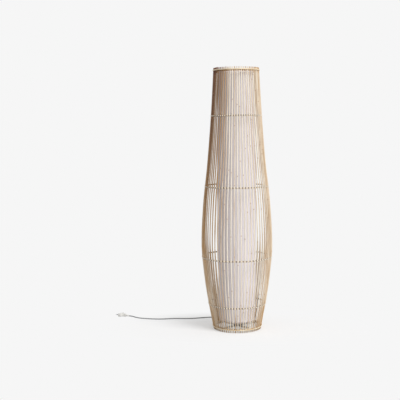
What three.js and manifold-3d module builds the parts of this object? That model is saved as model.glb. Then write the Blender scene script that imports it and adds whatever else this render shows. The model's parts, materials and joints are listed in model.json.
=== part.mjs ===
// Rattan floor lamp: upright canes bound by twined rows, round a white fabric shade on a stem.
// Millimetres, +Z up. The origin is on the floor, under the middle of the cage, and the front is -Y.

import * as THREE from 'three';
import { mergeVertices } from 'three/addons/utils/BufferGeometryUtils.js';
import Module from 'manifold-3d';

const wasm = await Module();
wasm.setup();

// Clearances shared by all pieces
const seatGap = 0.3; // left between pieces that touch
const cutOverrun = 4; // how far a cutting or sawing shape runs past what it cuts
const joinBite = 1; // how deep two joined pieces run into each other

// Facets of round pieces
const bossSides = 12;
const tubeSides = 10;
const pinSides = 8;
const armSides = 6;
const nutSides = 6;
const cornerSteps = 3;

// Cage of canes
const lampHeight = 1200;
const footRadius = 111; // over the outsides of the canes, as the other two
const bellyRadius = 163.5;
const topRadius = 103.5;
const caneRadius = 2.25;
const caneSides = 5;
const canePairs = 32;
const caneCount = 2 * canePairs;
const hoopSides = canePairs;
const caneHeightShares = [0, 0.19, 0.33, 0.47, 0.64, 0.82, 1];
const caneSwellShares = [0, 0.735, 1, 0.87, 0.51, 0.215, 0];

// Hoops that hold the ends of the canes
const footHoopHeight = 13; // middle of the band above the floor
const topHoopDrop = 9; // middle of the band below the sawn cane tips
const bandHeight = 6;
const bandThickness = 2;
const coreHoopThickness = 4;
const hoopBite = 0.7; // how deep the foot's core hoop runs into the canes that it carries

// Twined rows, each of two flat strands
const rowNames = ['foot', 'belly', 'waist', 'top'];
const rowHeightShares = [0.0975, 0.28, 0.5525, 0.82]; // of the lamp's height
const strandThickness = 1.2;
const strandHeight = 3.4;
const strandNames = ['a', 'b'];

// Steel foot frame and its bindings
const frameRingHeight = 10;
const frameRingThickness = 2.5;
const frameRingSides = canePairs / 2; // so that it has a corner where each binding and bar end is
const frameBase = 8; // underside above the floor, over the cord
const frameBarWidth = 16;
const frameBarThickness = 3;
const frameBossRadius = 15;
const frameBarTurnShares = [0.125, 0.375]; // of a full turn, from +X
const bindingWidth = 3;
const bindingThickness = 0.9;
const bindingTurnShare = 0.0625; // of a full turn, from +X to the first binding
const bindingCount = 4;

// Stem
const stemRadius = 5;
const stemWall = 1.5;
const stemTop = 568;
const stemEndAboveFloor = 2.5;
const nutThickness = 4;
const nutRadius = 9;
const washerRadius = 11;
const washerThickness = 1.2;

// Strain relief on the stem
const reliefHeight = 34; // its axis above the floor
const reliefLength = 26;
const reliefRootRadius = 4.4;
const reliefTipRadius = 3.4;
const reliefStubRadius = 2.6;

// Lamp holder for a screw bulb
const holderSides = 14;
const holderRadius = 20;
const holderWall = 2;
const capHeight = 24;
const capFootRadius = 13;
const capShoulder = 8;
const shellHeight = 34;
const shellCollarHeight = 14;
const shellFlangeReach = 2.5;
const shellFlangeHeight = 2;
const shellThreadRadius = 19;
const shellBoreRadius = 15.6;
const sleeveWall = 1.2;
const insertHeight = 8;
const contactRadius = 3;
const contactHeight = 1.6;
const retainingRingReach = 5;
const retainingRingHeight = 8;
const retainingRingWall = 1.6;

// Bulb
const bulbCapRadius = 13.2;
const bulbCapHeight = 26;
const bulbTipRadius = 4.5;
const bulbTipHeight = 1.8;
const bulbGlobeRadius = 30;
const bulbGlobeHeight = 81;
const globeNeckRadiusShare = 0.72; // of the globe's radius, where the neck's curve is drawn to
const globeNeckHeightShare = 0.33; // of the height of the globe's widest place
const globeSteps = 4;

// Fabric shade and its wires
const shadeTop = 1186;
const shadeBottom = 37;
const shadeMidRadius = 90;
const shadeWall = 1.2;
const shadeSides = 24;
const shadeHeightShares = [0, 0.26, 0.545, 0.825, 1];
const shadeRadiusShares = [0.935, 0.98, 1, 0.935, 0.87];
const wireRadius = 1.6;
const carrierHubWidth = 7;
const carrierHubThickness = 2;
const carrierArmCount = 3; // a whole share of the shade's sides

// Power cord, and what is on it
const cordRadius = 2.7;
const cordSides = 8;
const cordStep = 16; // length between the rings of a free stretch
const coilStartReach = 232; // from the lamp's axis, where the coil's first turn begins
const coilSides = 6;
const coilStepsPerLoop = 24;
const coilLoops = 5.5;
const coilInnerRadius = 22.4;
const coilTurnGap = 0.55;
const switchNear = 143; // its near end, from the lamp's axis
const switchLength = 56;
const switchWidth = 25;
const switchBaseHeight = 8.5;
const switchCoverHeight = 6.5;
const switchCornerRadius = 9;
const switchCordHeight = 4.4;
const switchReliefLength = 9;
const switchReliefRadius = 4;
const rockerLength = 20;
const rockerWidth = 11;
const rockerRise = 4.4; // of the ends of its face over its pivot
const rockerDip = 2.6; // of the middle of its face over its pivot
const rockerBelly = 1.2; // of its underside below its pivot
const rockerPinRadius = 1.2;
const rockerPinReach = 1.4;
const rockerSwing = 8; // degrees to either side of level
const rockerClearance = 0.5;
const plugPlace = [-555, 186]; // the middle of its cord end, on the floor
const plugHeading = 152; // degrees from +X, the way the pins point
const plugShoulderShare = 0.42; // of its length, over which it has its full width
const plugLength = 36;
const plugWidth = 35;
const plugThickness = 13.6;
const plugNeckWidth = 9;
const plugEdgeRadius = 2;
const plugReliefLength = 22;
const plugReliefRadius = 4.2;
const plugPinRadius = 2;
const plugPinLength = 19;
const plugPinSpacing = 19;

const rattan = new THREE.MeshStandardMaterial({ color: 0xc8a77c, roughness: 0.62, metalness: 0 });
const paleRattan = new THREE.MeshStandardMaterial({ color: 0xe4cfa6, roughness: 0.6, metalness: 0 });
const fabric = new THREE.MeshStandardMaterial({ color: 0xf1efec, roughness: 0.9, metalness: 0 });
const whiteSteel = new THREE.MeshStandardMaterial({ color: 0xe9e8e4, roughness: 0.45, metalness: 0.1 });
const zincSteel = new THREE.MeshStandardMaterial({ color: 0xb9bcbe, roughness: 0.35, metalness: 0.9 });
const brass = new THREE.MeshStandardMaterial({ color: 0xc9a85a, roughness: 0.3, metalness: 1 });
const whitePlastic = new THREE.MeshStandardMaterial({ color: 0xecebe7, roughness: 0.4, metalness: 0 });
const ceramic = new THREE.MeshStandardMaterial({ color: 0xf2f0ea, roughness: 0.25, metalness: 0 });
const opalGlass = new THREE.MeshStandardMaterial({ color: 0xf8f7f3, roughness: 0.3, metalness: 0 });
const cordGrey = new THREE.MeshStandardMaterial({ color: 0xa6a7a8, roughness: 0.5, metalness: 0 });

const lamp = new THREE.Group();

function add(parent, name, geometry, material) {
  const piece = new THREE.Mesh(geometry, material);
  piece.name = name;
  parent.add(piece);
  return piece;
}

function toSolid(geometry) {
  const bare = geometry.clone();
  bare.deleteAttribute('normal');
  bare.deleteAttribute('uv');
  const merged = mergeVertices(bare);
  const vertProperties = new Float32Array(merged.attributes.position.array);
  const triVerts = new Uint32Array(merged.index.array);
  return new wasm.Manifold(new wasm.Mesh({ numProp: 3, vertProperties, triVerts }));
}

function toGeometry(solid) {
  const mesh = solid.getMesh();
  const geometry = new THREE.BufferGeometry();
  geometry.setAttribute('position', new THREE.BufferAttribute(mesh.vertProperties, 3));
  geometry.setIndex(new THREE.BufferAttribute(mesh.triVerts, 1));
  return geometry;
}

const join = (first, ...others) => others.reduce((solid, other) => solid.add(other), first);

// A turned piece, from [radius, height] corners that go up the outside first.
function turned(corners, segments) {
  const profile = corners.map(([radius, height]) => new THREE.Vector2(radius, height));
  return new THREE.LatheGeometry(profile, segments).rotateX(Math.PI / 2);
}

// A turned ring whose section closes on itself.
const turnedRing = (corners, segments) => turned([...corners, corners[0]], segments);

// A round section with as many corners as sides, the first one a share of a side from its X.
function roundSection(radius, sides, firstCornerShare = 0.5) {
  const corner = (index) => {
    const angle = ((index + firstCornerShare) * 2 * Math.PI) / sides;
    return new THREE.Vector2(radius * Math.cos(angle), radius * Math.sin(angle));
  };
  return new THREE.Shape(Array.from({ length: sides }, (_, index) => corner(index)));
}

const swept = (path, section, steps) =>
  new THREE.ExtrudeGeometry(section, { extrudePath: path, steps, bevelEnabled: false });

// A skin over rings of points: closed on itself, or capped at both ends.
function skinned(rings, isLoop) {
  const sides = rings[0].length;
  const indices = [];
  const spans = isLoop ? rings.length : rings.length - 1;
  for (let span = 0; span < spans; span += 1) {
    const here = span * sides;
    const there = ((span + 1) % rings.length) * sides;
    for (let side = 0; side < sides; side += 1) {
      const next = (side + 1) % sides;
      indices.push(here + side, there + side, there + next, here + side, there + next, here + next);
    }
  }
  if (!isLoop) {
    const last = (rings.length - 1) * sides;
    for (let side = 1; side < sides - 1; side += 1) {
      indices.push(0, side, side + 1, last, last + side + 1, last + side);
    }
  }
  const geometry = new THREE.BufferGeometry().setFromPoints(rings.flat());
  geometry.setIndex(indices);
  return geometry;
}

// The line that every cane follows, as its middle's distance from the axis at a height.
const bellyStation = caneSwellShares.indexOf(1);
const caneStations = caneHeightShares.map((share, index) => {
  const endRadius = index < bellyStation ? footRadius : topRadius;
  const outside = endRadius + caneSwellShares[index] * (bellyRadius - endRadius);
  return { height: share * lampHeight, radius: outside - caneRadius };
});

function caneMiddle(height) {
  const last = caneStations.length - 1;
  const found = caneStations.findIndex((station) => station.height > height);
  const above = found < 0 ? last : Math.max(found, 1);
  const [low, high] = [caneStations[above - 1], caneStations[above]];
  const share = (height - low.height) / (high.height - low.height);
  return low.radius + share * (high.radius - low.radius);
}

class CaneLine extends THREE.Curve {
  getPoint(share) {
    const spans = caneStations.length - 1;
    const span = Math.min(Math.floor(share * spans), spans - 1);
    const along = share * spans - span;
    const startsAt = span === 0 ? -cutOverrun : caneStations[span].height;
    const endsAt = span === spans - 1 ? lampHeight + cutOverrun : caneStations[span + 1].height;
    const height = startsAt + along * (endsAt - startsAt);
    return new THREE.Vector3(caneMiddle(height), 0, height);
  }

  getPointAt(share) {
    return this.getPoint(share);
  }

  getTangentAt(share) {
    return this.getTangent(share);
  }
}

// Each side of a hoop spans two canes and has its corners in gaps, so a corner stands a little
// further out than the face does in front of a cane.
const hoopCornerShare = Math.cos(Math.PI / caneCount) / Math.cos(Math.PI / hoopSides);
const hoopCorner = (height, offset) => (caneMiddle(height) + offset) * hoopCornerShare;

// A hoop that leans as the canes do, from one distance to another off their middle line.
function leaningHoop(middleHeight, nearSide, farSide) {
  const low = middleHeight - bandHeight / 2;
  const high = middleHeight + bandHeight / 2;
  const corner = (height, offset) => [hoopCorner(height, offset), height];
  return turnedRing([corner(low, farSide), corner(high, farSide), corner(high, nearSide),
    corner(low, nearSide)], hoopSides);
}

const outsideOfCanes = caneRadius + seatGap;
const coreHoopFace = -caneRadius + hoopBite;
const coreHoopBack = coreHoopFace - coreHoopThickness;

function buildCaneCage() {
  const trunk = new THREE.BoxGeometry(2 * bellyRadius + cutOverrun, 2 * bellyRadius + cutOverrun, lampHeight);
  trunk.translate(0, 0, lampHeight / 2);
  const cane = swept(new CaneLine(), roundSection(caneRadius, caneSides, 0), caneStations.length - 1);
  let cage = toSolid(leaningHoop(footHoopHeight, coreHoopBack, coreHoopFace));
  for (let index = 0; index < caneCount; index += 1) {
    const placed = cane.clone().rotateZ(((index + 0.5) * 2 * Math.PI) / caneCount);
    cage = cage.add(toSolid(placed));
  }
  add(lamp, 'cane_cage', toGeometry(cage.intersect(toSolid(trunk))), rattan);
}

function buildHoops() {
  const topHoopHeight = lampHeight - topHoopDrop;
  const outerFace = outsideOfCanes + bandThickness;
  const innerFace = -outsideOfCanes - coreHoopThickness;
  add(lamp, 'foot_outer_hoop', leaningHoop(footHoopHeight, outsideOfCanes, outerFace), paleRattan);
  add(lamp, 'top_outer_hoop', leaningHoop(topHoopHeight, outsideOfCanes, outerFace), paleRattan);
  add(lamp, 'top_inner_hoop', leaningHoop(topHoopHeight, innerFace, -outsideOfCanes), paleRattan);
}

// How far a strand's middle stands off the cane line where it passes a cane, so that it still
// clears the cane while it runs straight to the middle of the next gap.
function strandReach(rowHeight) {
  const halfPitch = (caneMiddle(rowHeight) * Math.PI) / caneCount;
  const halfHeight = strandHeight / 2;
  const lean = Math.abs(caneMiddle(rowHeight + halfHeight) - caneMiddle(rowHeight - halfHeight)) / 2;
  const clear = caneRadius + seatGap + lean;
  const half = strandThickness / 2;
  const spare = halfPitch ** 2 - clear ** 2;
  const root = Math.sqrt((half * halfPitch ** 2) ** 2 - spare * halfPitch ** 2 * (half ** 2 - clear ** 2));
  return (half * halfPitch ** 2 + root) / spare;
}

// One strand goes outside a cane, up over its partner in the gap, inside the next cane, and under.
function twinedStrand(rowHeight, turnAhead) {
  const reach = strandReach(rowHeight);
  const climb = (strandHeight + seatGap) / 2;
  const steps = 2 * caneCount;
  const section = [[-strandThickness / 2, 0], [strandThickness / 2, -strandHeight / 2],
    [strandThickness / 2, strandHeight / 2]];
  const rings = Array.from({ length: steps }, (_, step) => {
    const angle = (step * 2 * Math.PI) / steps;
    const twist = (step * Math.PI) / 2 + turnAhead;
    const height = rowHeight + climb * Math.cos(twist);
    const radius = caneMiddle(height) + reach * Math.sin(twist);
    return section.map(([outward, upward]) => new THREE.Vector3(
      (radius + outward) * Math.cos(angle),
      (radius + outward) * Math.sin(angle),
      height + upward,
    ));
  });
  return skinned(rings, true);
}

function buildRows() {
  rowNames.forEach((row, rowIndex) => {
    strandNames.forEach((strand, index) => {
      const geometry = twinedStrand(rowHeightShares[rowIndex] * lampHeight, index * Math.PI);
      add(lamp, `${row}_row_strand_${strand}`, geometry, paleRattan);
    });
  });
}

const frameRingOuter = hoopCorner(frameBase, coreHoopBack) - seatGap;
const nutTopOfFrame = frameBase + frameBarThickness + seatGap;

// A ring that the cage is lashed to, and a cross in it that the stem stands on. The cross ends in
// corners of the ring, just clear of the sides that meet there.
function buildFootFrame() {
  const ringInner = frameRingOuter - frameRingThickness;
  const ringTop = frameBase + frameRingHeight;
  const ring = turnedRing([[frameRingOuter, frameBase], [frameRingOuter, ringTop], [ringInner, ringTop],
    [ringInner, frameBase]], frameRingSides);
  add(lamp, 'foot_frame_ring', ring, whiteSteel);
  const barMiddle = frameBase + frameBarThickness / 2;
  const halfSide = Math.PI / frameRingSides;
  const barReach = ringInner - (seatGap + (frameBarWidth / 2) * Math.sin(halfSide)) / Math.cos(halfSide);
  const bars = frameBarTurnShares.map((turnShare) => toSolid(
    new THREE.BoxGeometry(2 * barReach, frameBarWidth, frameBarThickness)
      .rotateZ(2 * Math.PI * turnShare).translate(0, 0, barMiddle),
  ));
  const boss = new THREE.CylinderGeometry(frameBossRadius, frameBossRadius, frameBarThickness, bossSides)
    .rotateX(Math.PI / 2).translate(0, 0, barMiddle);
  const holeRadius = stemRadius + seatGap;
  const hole = new THREE.CylinderGeometry(holeRadius, holeRadius, frameBarThickness + cutOverrun, tubeSides)
    .rotateX(Math.PI / 2).translate(0, 0, barMiddle);
  const cross = join(...bars, toSolid(boss)).subtract(toSolid(hole));
  add(lamp, 'foot_frame_cross', toGeometry(cross), whiteSteel);
}

// A binding goes round the frame ring and the core hoop, in a gap between two canes.
function buildBindings() {
  const hoopLow = footHoopHeight - bandHeight / 2;
  const hoopHigh = footHoopHeight + bandHeight / 2;
  const low = Math.min(frameBase, hoopLow) - seatGap;
  const high = Math.max(frameBase + frameRingHeight, hoopHigh) + seatGap;
  const near = frameRingOuter - frameRingThickness - seatGap;
  const far = hoopCorner(hoopHigh, coreHoopFace) + seatGap;
  const outline = rectangle(near - bindingThickness, low - bindingThickness, far + bindingThickness,
    high + bindingThickness, THREE.Shape);
  outline.holes.push(rectangle(near, low, far, high, THREE.Path));
  for (let index = 0; index < bindingCount; index += 1) {
    const turn = 2 * Math.PI * (bindingTurnShare + index / bindingCount);
    const loop = new THREE.ExtrudeGeometry(outline, { depth: bindingWidth, bevelEnabled: false });
    loop.translate(0, 0, -bindingWidth / 2).rotateX(Math.PI / 2).rotateZ(turn);
    add(lamp, `foot_binding_${index + 1}`, loop, paleRattan);
  }
}

function rectangle(left, low, right, high, Kind) {
  const outline = new Kind();
  outline.moveTo(left, low);
  outline.lineTo(right, low);
  outline.lineTo(right, high);
  outline.lineTo(left, high);
  outline.closePath();
  return outline;
}

function hexNut(thickness) {
  const outline = roundSection(nutRadius, nutSides);
  outline.holes.push(new THREE.Path(roundSection(stemRadius + seatGap, tubeSides).getPoints()));
  return new THREE.ExtrudeGeometry(outline, { depth: thickness, bevelEnabled: false });
}

function buildStem() {
  const bore = stemRadius - stemWall;
  const tube = turnedRing([[stemRadius, stemEndAboveFloor], [stemRadius, stemTop], [bore, stemTop],
    [bore, stemEndAboveFloor]], tubeSides);
  const sideHole = new THREE.CylinderGeometry(reliefStubRadius + seatGap, reliefStubRadius + seatGap,
    stemRadius + cutOverrun, tubeSides).translate(0, (stemRadius + cutOverrun) / 2, reliefHeight);
  add(lamp, 'stem', toGeometry(toSolid(tube).subtract(toSolid(sideHole))), whiteSteel);
  add(lamp, 'stem_lower_nut', hexNut(nutThickness), zincSteel)
    .position.z = frameBase - seatGap - nutThickness;
  const washer = turnedRing([[washerRadius, 0], [washerRadius, washerThickness],
    [stemRadius + seatGap, washerThickness], [stemRadius + seatGap, 0]], bossSides);
  add(lamp, 'stem_washer', washer, zincSteel).position.z = nutTopOfFrame;
  add(lamp, 'stem_upper_nut', hexNut(nutThickness), zincSteel)
    .position.z = nutTopOfFrame + washerThickness + seatGap;
}

// The relief is a tapered sleeve on the back of the stem, with a stub in the stem's side hole.
function buildStemRelief() {
  const seat = stemRadius + seatGap;
  const corners = [[0, 0], [reliefStubRadius, 0], [reliefStubRadius, seat], [reliefRootRadius, seat],
    [reliefTipRadius, seat + reliefLength], [0, seat + reliefLength]];
  add(lamp, 'stem_strain_relief', turned(corners, tubeSides).rotateX(-Math.PI / 2), cordGrey)
    .position.z = reliefHeight;
}

const holderBase = stemTop - capShoulder;
const capTop = holderBase + capHeight;
const shellBase = capTop + seatGap;
const flangeTop = shellBase + shellCollarHeight + shellFlangeHeight;
const hubBase = flangeTop + seatGap;
const insertBase = shellBase;
const contactBase = insertBase + insertHeight + seatGap;
const bulbBase = contactBase + contactHeight + seatGap;
const bulbGlobeBase = bulbBase + bulbCapHeight + seatGap;

function buildHolder() {
  const stemHole = stemRadius + seatGap;
  const inside = holderRadius - holderWall;
  const cap = turnedRing([[stemHole, 0], [capFootRadius, 0], [holderRadius, capShoulder],
    [holderRadius, capHeight], [inside, capHeight], [inside, capShoulder + holderWall / 2],
    [capFootRadius - holderWall / 2, holderWall], [stemHole, holderWall]], holderSides);
  add(lamp, 'holder_cap', cap, whitePlastic).position.z = holderBase;
  add(lamp, 'holder_locknut', hexNut(nutThickness), zincSteel)
    .position.z = holderBase + holderWall + seatGap;
  const flangeRadius = holderRadius + shellFlangeReach;
  const flangeHeight = shellCollarHeight + shellFlangeHeight;
  const shell = turnedRing([[holderRadius, 0], [holderRadius, shellCollarHeight],
    [flangeRadius, shellCollarHeight], [flangeRadius, flangeHeight], [shellThreadRadius, flangeHeight],
    [shellThreadRadius, shellHeight], [shellBoreRadius, shellHeight], [shellBoreRadius, 0]], holderSides);
  add(lamp, 'holder_shell', shell, whitePlastic).position.z = shellBase;
  const insertRadius = shellBoreRadius - seatGap;
  const insert = turned([[0, 0], [insertRadius, 0], [insertRadius, insertHeight], [0, insertHeight]],
    holderSides);
  add(lamp, 'holder_insert', insert, ceramic).position.z = insertBase;
  const contact = turned([[0, 0], [contactRadius, 0], [contactRadius, contactHeight], [0, contactHeight]],
    pinSides);
  add(lamp, 'holder_contact', contact, brass).position.z = contactBase;
  const sleeveBase = insertHeight + seatGap;
  const sleeve = turnedRing([[insertRadius, sleeveBase], [insertRadius, shellHeight],
    [insertRadius - sleeveWall, shellHeight], [insertRadius - sleeveWall, sleeveBase]], holderSides);
  add(lamp, 'holder_screw_sleeve', sleeve, brass).position.z = insertBase;
}

function buildRetainingRing() {
  const bore = shellThreadRadius + seatGap;
  const skirt = bore + retainingRingReach;
  const collar = bore + retainingRingWall;
  const ring = turnedRing([[bore, 0], [skirt, 0], [skirt, retainingRingWall], [collar, retainingRingWall],
    [collar, retainingRingHeight], [bore, retainingRingHeight]], holderSides);
  add(lamp, 'shade_retaining_ring', ring, whitePlastic)
    .position.z = hubBase + carrierHubThickness + seatGap;
}

function buildBulb() {
  const cap = turned([[0, 0], [bulbTipRadius, 0], [bulbTipRadius, bulbTipHeight],
    [bulbCapRadius, 2 * bulbTipHeight], [bulbCapRadius, bulbCapHeight], [0, bulbCapHeight]], holderSides);
  add(lamp, 'bulb_cap', cap, zincSteel).position.z = bulbBase;
  const crown = bulbGlobeHeight - bulbGlobeRadius;
  const neck = new THREE.QuadraticBezierCurve(
    new THREE.Vector2(bulbCapRadius, 0),
    new THREE.Vector2(bulbGlobeRadius * globeNeckRadiusShare, crown * globeNeckHeightShare),
    new THREE.Vector2(bulbGlobeRadius, crown),
  ).getPoints(globeSteps);
  const dome = Array.from({ length: globeSteps }, (_, step) => {
    const angle = ((step + 1) / globeSteps) * (Math.PI / 2);
    return new THREE.Vector2(bulbGlobeRadius * Math.cos(angle), crown + bulbGlobeRadius * Math.sin(angle));
  });
  dome[dome.length - 1].x = 0;
  const corners = [new THREE.Vector2(0, 0), ...neck, ...dome].map((corner) => [corner.x, corner.y]);
  add(lamp, 'bulb_globe', turned(corners, holderSides), opalGlass).position.z = bulbGlobeBase;
}

// The shade's outside, as a distance from the axis at a height.
function shadeOutside(height) {
  const place = (height - shadeBottom) / (shadeTop - shadeBottom);
  const above = Math.max(1, shadeHeightShares.findIndex((share) => share >= place));
  const [low, high] = [shadeHeightShares[above - 1], shadeHeightShares[above]];
  const share = (place - low) / (high - low);
  const [from, to] = [shadeRadiusShares[above - 1], shadeRadiusShares[above]];
  return shadeMidRadius * (from + share * (to - from));
}

function wireRing(radius) {
  return turnedRing([[radius + wireRadius, 0], [radius, wireRadius], [radius - wireRadius, 0],
    [radius, -wireRadius]], shadeSides);
}

// A wire ring's own radius, so that it lies just inside the fabric over its whole thickness.
function wireInsideShade(height) {
  const narrowest = Math.min(shadeOutside(height - wireRadius), shadeOutside(height + wireRadius));
  return narrowest - shadeWall - seatGap - wireRadius;
}

function buildShade() {
  const heights = shadeHeightShares.map((share) => shadeBottom + share * (shadeTop - shadeBottom));
  const outside = heights.map((height) => [shadeOutside(height), height]);
  const inside = heights.map((height) => [shadeOutside(height) - shadeWall, height]).reverse();
  add(lamp, 'shade_fabric', turnedRing([...outside, ...inside], shadeSides), fabric);
  const topWire = shadeTop - 2 * wireRadius;
  const bottomWire = shadeBottom + 2 * wireRadius;
  add(lamp, 'shade_top_wire', wireRing(wireInsideShade(topWire)), whiteSteel).position.z = topWire;
  add(lamp, 'shade_bottom_wire', wireRing(wireInsideShade(bottomWire)), whiteSteel).position.z = bottomWire;
}

// The carrier: a flat hub clamped on the holder, three wire arms and a wire rim in the shade.
function buildCarrier() {
  const middle = hubBase + carrierHubThickness / 2;
  const hubInner = shellThreadRadius + seatGap;
  const hubOuter = hubInner + carrierHubWidth;
  const hub = turnedRing([[hubOuter, 0], [hubOuter, carrierHubThickness], [hubInner, carrierHubThickness],
    [hubInner, 0]], holderSides).translate(0, 0, -carrierHubThickness / 2);
  const rimRadius = wireInsideShade(middle);
  const armStart = hubOuter - joinBite;
  const arm = new THREE.CylinderGeometry(wireRadius, wireRadius, rimRadius - armStart, armSides)
    .translate(0, armStart + (rimRadius - armStart) / 2, 0);
  const arms = Array.from({ length: carrierArmCount }, (_, index) => (
    toSolid(arm.clone().rotateZ((2 * Math.PI * index) / carrierArmCount))
  ));
  const carrier = join(toSolid(hub), toSolid(wireRing(rimRadius)), ...arms);
  add(lamp, 'shade_carrier', toGeometry(carrier), whiteSteel).position.z = middle;
}

function buildStemLead() {
  const low = reliefHeight + reliefStubRadius + seatGap;
  const high = insertBase - seatGap;
  const lead = turned([[0, low], [cordRadius, low], [cordRadius, high], [0, high]], cordSides);
  add(lamp, 'stem_lead', lead, cordGrey);
}

// The free cord: from the relief down to the floor, out under the hoops, through the switch,
// round the coil behind the lamp, and away to the left.
const reliefTip = stemRadius + seatGap + reliefLength + seatGap;
const switchFar = switchNear + switchLength;
const switchReliefTip = seatGap + switchReliefLength + seatGap;
const coilStart = new THREE.Vector3(0, coilStartReach, cordRadius);
const coilPitch = 2 * cordRadius + coilTurnGap;
const coilOuterRadius = coilInnerRadius + (coilLoops / 2) * coilPitch;
const coilEndRun = 2 * cordRadius;
const coilCentre = new THREE.Vector2(coilStart.x - coilOuterRadius, coilStart.y);
const plugEnd = new THREE.Vector3(...plugPlace, plugThickness / 2);

const lampCordRoute = [
  [0, reliefTip, reliefHeight], [0, 42, 33.2], [0, 54, 28.5], [0, 66, 20], [0, 78, 11], [0, 90, 4.9],
  [0, 102, cordRadius], [0, 114, cordRadius], [0, 121, 3.1], [0, 127, 4.1],
  [0, switchNear - switchReliefTip, switchCordHeight],
];
const coilCordRoute = [
  [0, switchFar + switchReliefTip, switchCordHeight], [0, 211, 4.3], [0, 217, 3.5], [0, 222.5, 2.8],
  [coilStart.x, coilStart.y - coilEndRun - seatGap, coilStart.z],
];
const coilEnd = new THREE.Vector3(
  coilCentre.x - coilOuterRadius, coilCentre.y - coilEndRun - seatGap, 3 * cordRadius + coilTurnGap,
);
const plugCordRoute = [
  [coilEnd.x, coilEnd.y, coilEnd.z], [-77.7, 220, 8.4], [-79.5, 209.5, 7.2], [-85, 199, 5.4],
  [-94.5, 190.5, 3.7], [-106, 185.3, 2.9], [-120, 181, cordRadius], [-144, 174.5, cordRadius],
  [-168, 167, cordRadius], [-192, 159, cordRadius], [-217, 151, cordRadius], [-244, 146.5, cordRadius],
  [-275, 146, cordRadius], [-305, 145.5, cordRadius], [-333, 140.5, cordRadius],
  [-362, 134, cordRadius], [-394, 132, cordRadius], [-424, 135, cordRadius], [-452, 141, cordRadius],
  [-478, 148.5, cordRadius], [-502, 158.3, 4.2], [-519, 166.9, 6.4],
  [plugCordEnd().x, plugCordEnd().y, plugEnd.z],
];

function plugCordEnd() {
  const heading = THREE.MathUtils.degToRad(plugHeading);
  const back = plugReliefLength + 2 * seatGap;
  return new THREE.Vector2(plugEnd.x - back * Math.cos(heading), plugEnd.y - back * Math.sin(heading));
}

function cordStretch(route) {
  const points = route.map((point) => new THREE.Vector3(...point));
  const path = new THREE.CatmullRomCurve3(points, false, 'centripetal');
  const steps = Math.max(2, Math.round(path.getLength() / cordStep));
  return swept(path, roundSection(cordRadius, cordSides), steps);
}

// The coil: in along the floor, up a layer in the half turn where it reverses, and out on top.
function coilPoint(loops) {
  const loopsFromMiddle = loops - coilLoops / 2;
  const radius = coilInnerRadius + Math.abs(loopsFromMiddle) * coilPitch;
  const climb = THREE.MathUtils.clamp(0.5 + 2 * loopsFromMiddle, 0, 1);
  const angle = 2 * Math.PI * loops;
  return new THREE.Vector3(
    coilCentre.x + radius * Math.cos(angle),
    coilCentre.y + radius * Math.sin(angle),
    cordRadius + climb * coilPitch,
  );
}

function coilLine() {
  const steps = Math.round(coilLoops * coilStepsPerLoop);
  const turns = Array.from({ length: steps + 1 }, (_, step) => coilPoint((coilLoops * step) / steps));
  const first = turns[0].clone().add(new THREE.Vector3(0, -coilEndRun, 0));
  const last = turns[steps].clone().add(new THREE.Vector3(0, -coilEndRun, 0));
  return [first, ...turns, last];
}

// Rings of a tube that lies nearly level: each is square to its way on, with a corner underneath.
function levelTubeRings(line, radius, sides) {
  return line.map((point, index) => {
    const before = line[Math.max(0, index - 1)];
    const after = line[Math.min(line.length - 1, index + 1)];
    const way = new THREE.Vector3().subVectors(after, before).normalize();
    const across = new THREE.Vector3(way.y, -way.x, 0).normalize();
    const up = new THREE.Vector3().crossVectors(across, way).normalize();
    return Array.from({ length: sides }, (_, side) => {
      const angle = ((side + 0.5) * 2 * Math.PI) / sides;
      return point.clone()
        .addScaledVector(across, radius * Math.cos(angle))
        .addScaledVector(up, radius * Math.sin(angle));
    });
  });
}

function leastCoilGap(line) {
  let least = Infinity;
  for (let first = 0; first < line.length; first += 1) {
    for (let second = first + Math.floor(coilStepsPerLoop / 2); second < line.length; second += 1) {
      least = Math.min(least, line[first].distanceTo(line[second]) - 2 * cordRadius);
    }
  }
  return least;
}

function buildCord() {
  add(lamp, 'cord_to_switch', cordStretch(lampCordRoute), cordGrey);
  add(lamp, 'cord_to_coil', cordStretch(coilCordRoute), cordGrey);
  const line = coilLine();
  console.log(`least gap between the coil's turns: ${leastCoilGap(line).toFixed(2)} mm`);
  add(lamp, 'cord_coil', skinned(levelTubeRings(line, cordRadius, coilSides), false), cordGrey);
  add(lamp, 'cord_to_plug', cordStretch(plugCordRoute), cordGrey);
}

function roundedOutline(length, width, corner, Kind) {
  const [x, y] = [width / 2, length / 2];
  const outline = new Kind();
  outline.moveTo(x, y - corner);
  outline.absarc(x - corner, y - corner, corner, 0, Math.PI / 2);
  outline.absarc(corner - x, y - corner, corner, Math.PI / 2, Math.PI);
  outline.absarc(corner - x, corner - y, corner, Math.PI, 1.5 * Math.PI);
  outline.absarc(x - corner, corner - y, corner, 1.5 * Math.PI, 2 * Math.PI);
  outline.closePath();
  return outline;
}

const pivotHeight = switchBaseHeight + seatGap + rockerBelly
  + (rockerLength / 2) * Math.sin(THREE.MathUtils.degToRad(rockerSwing)) + seatGap;

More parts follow.
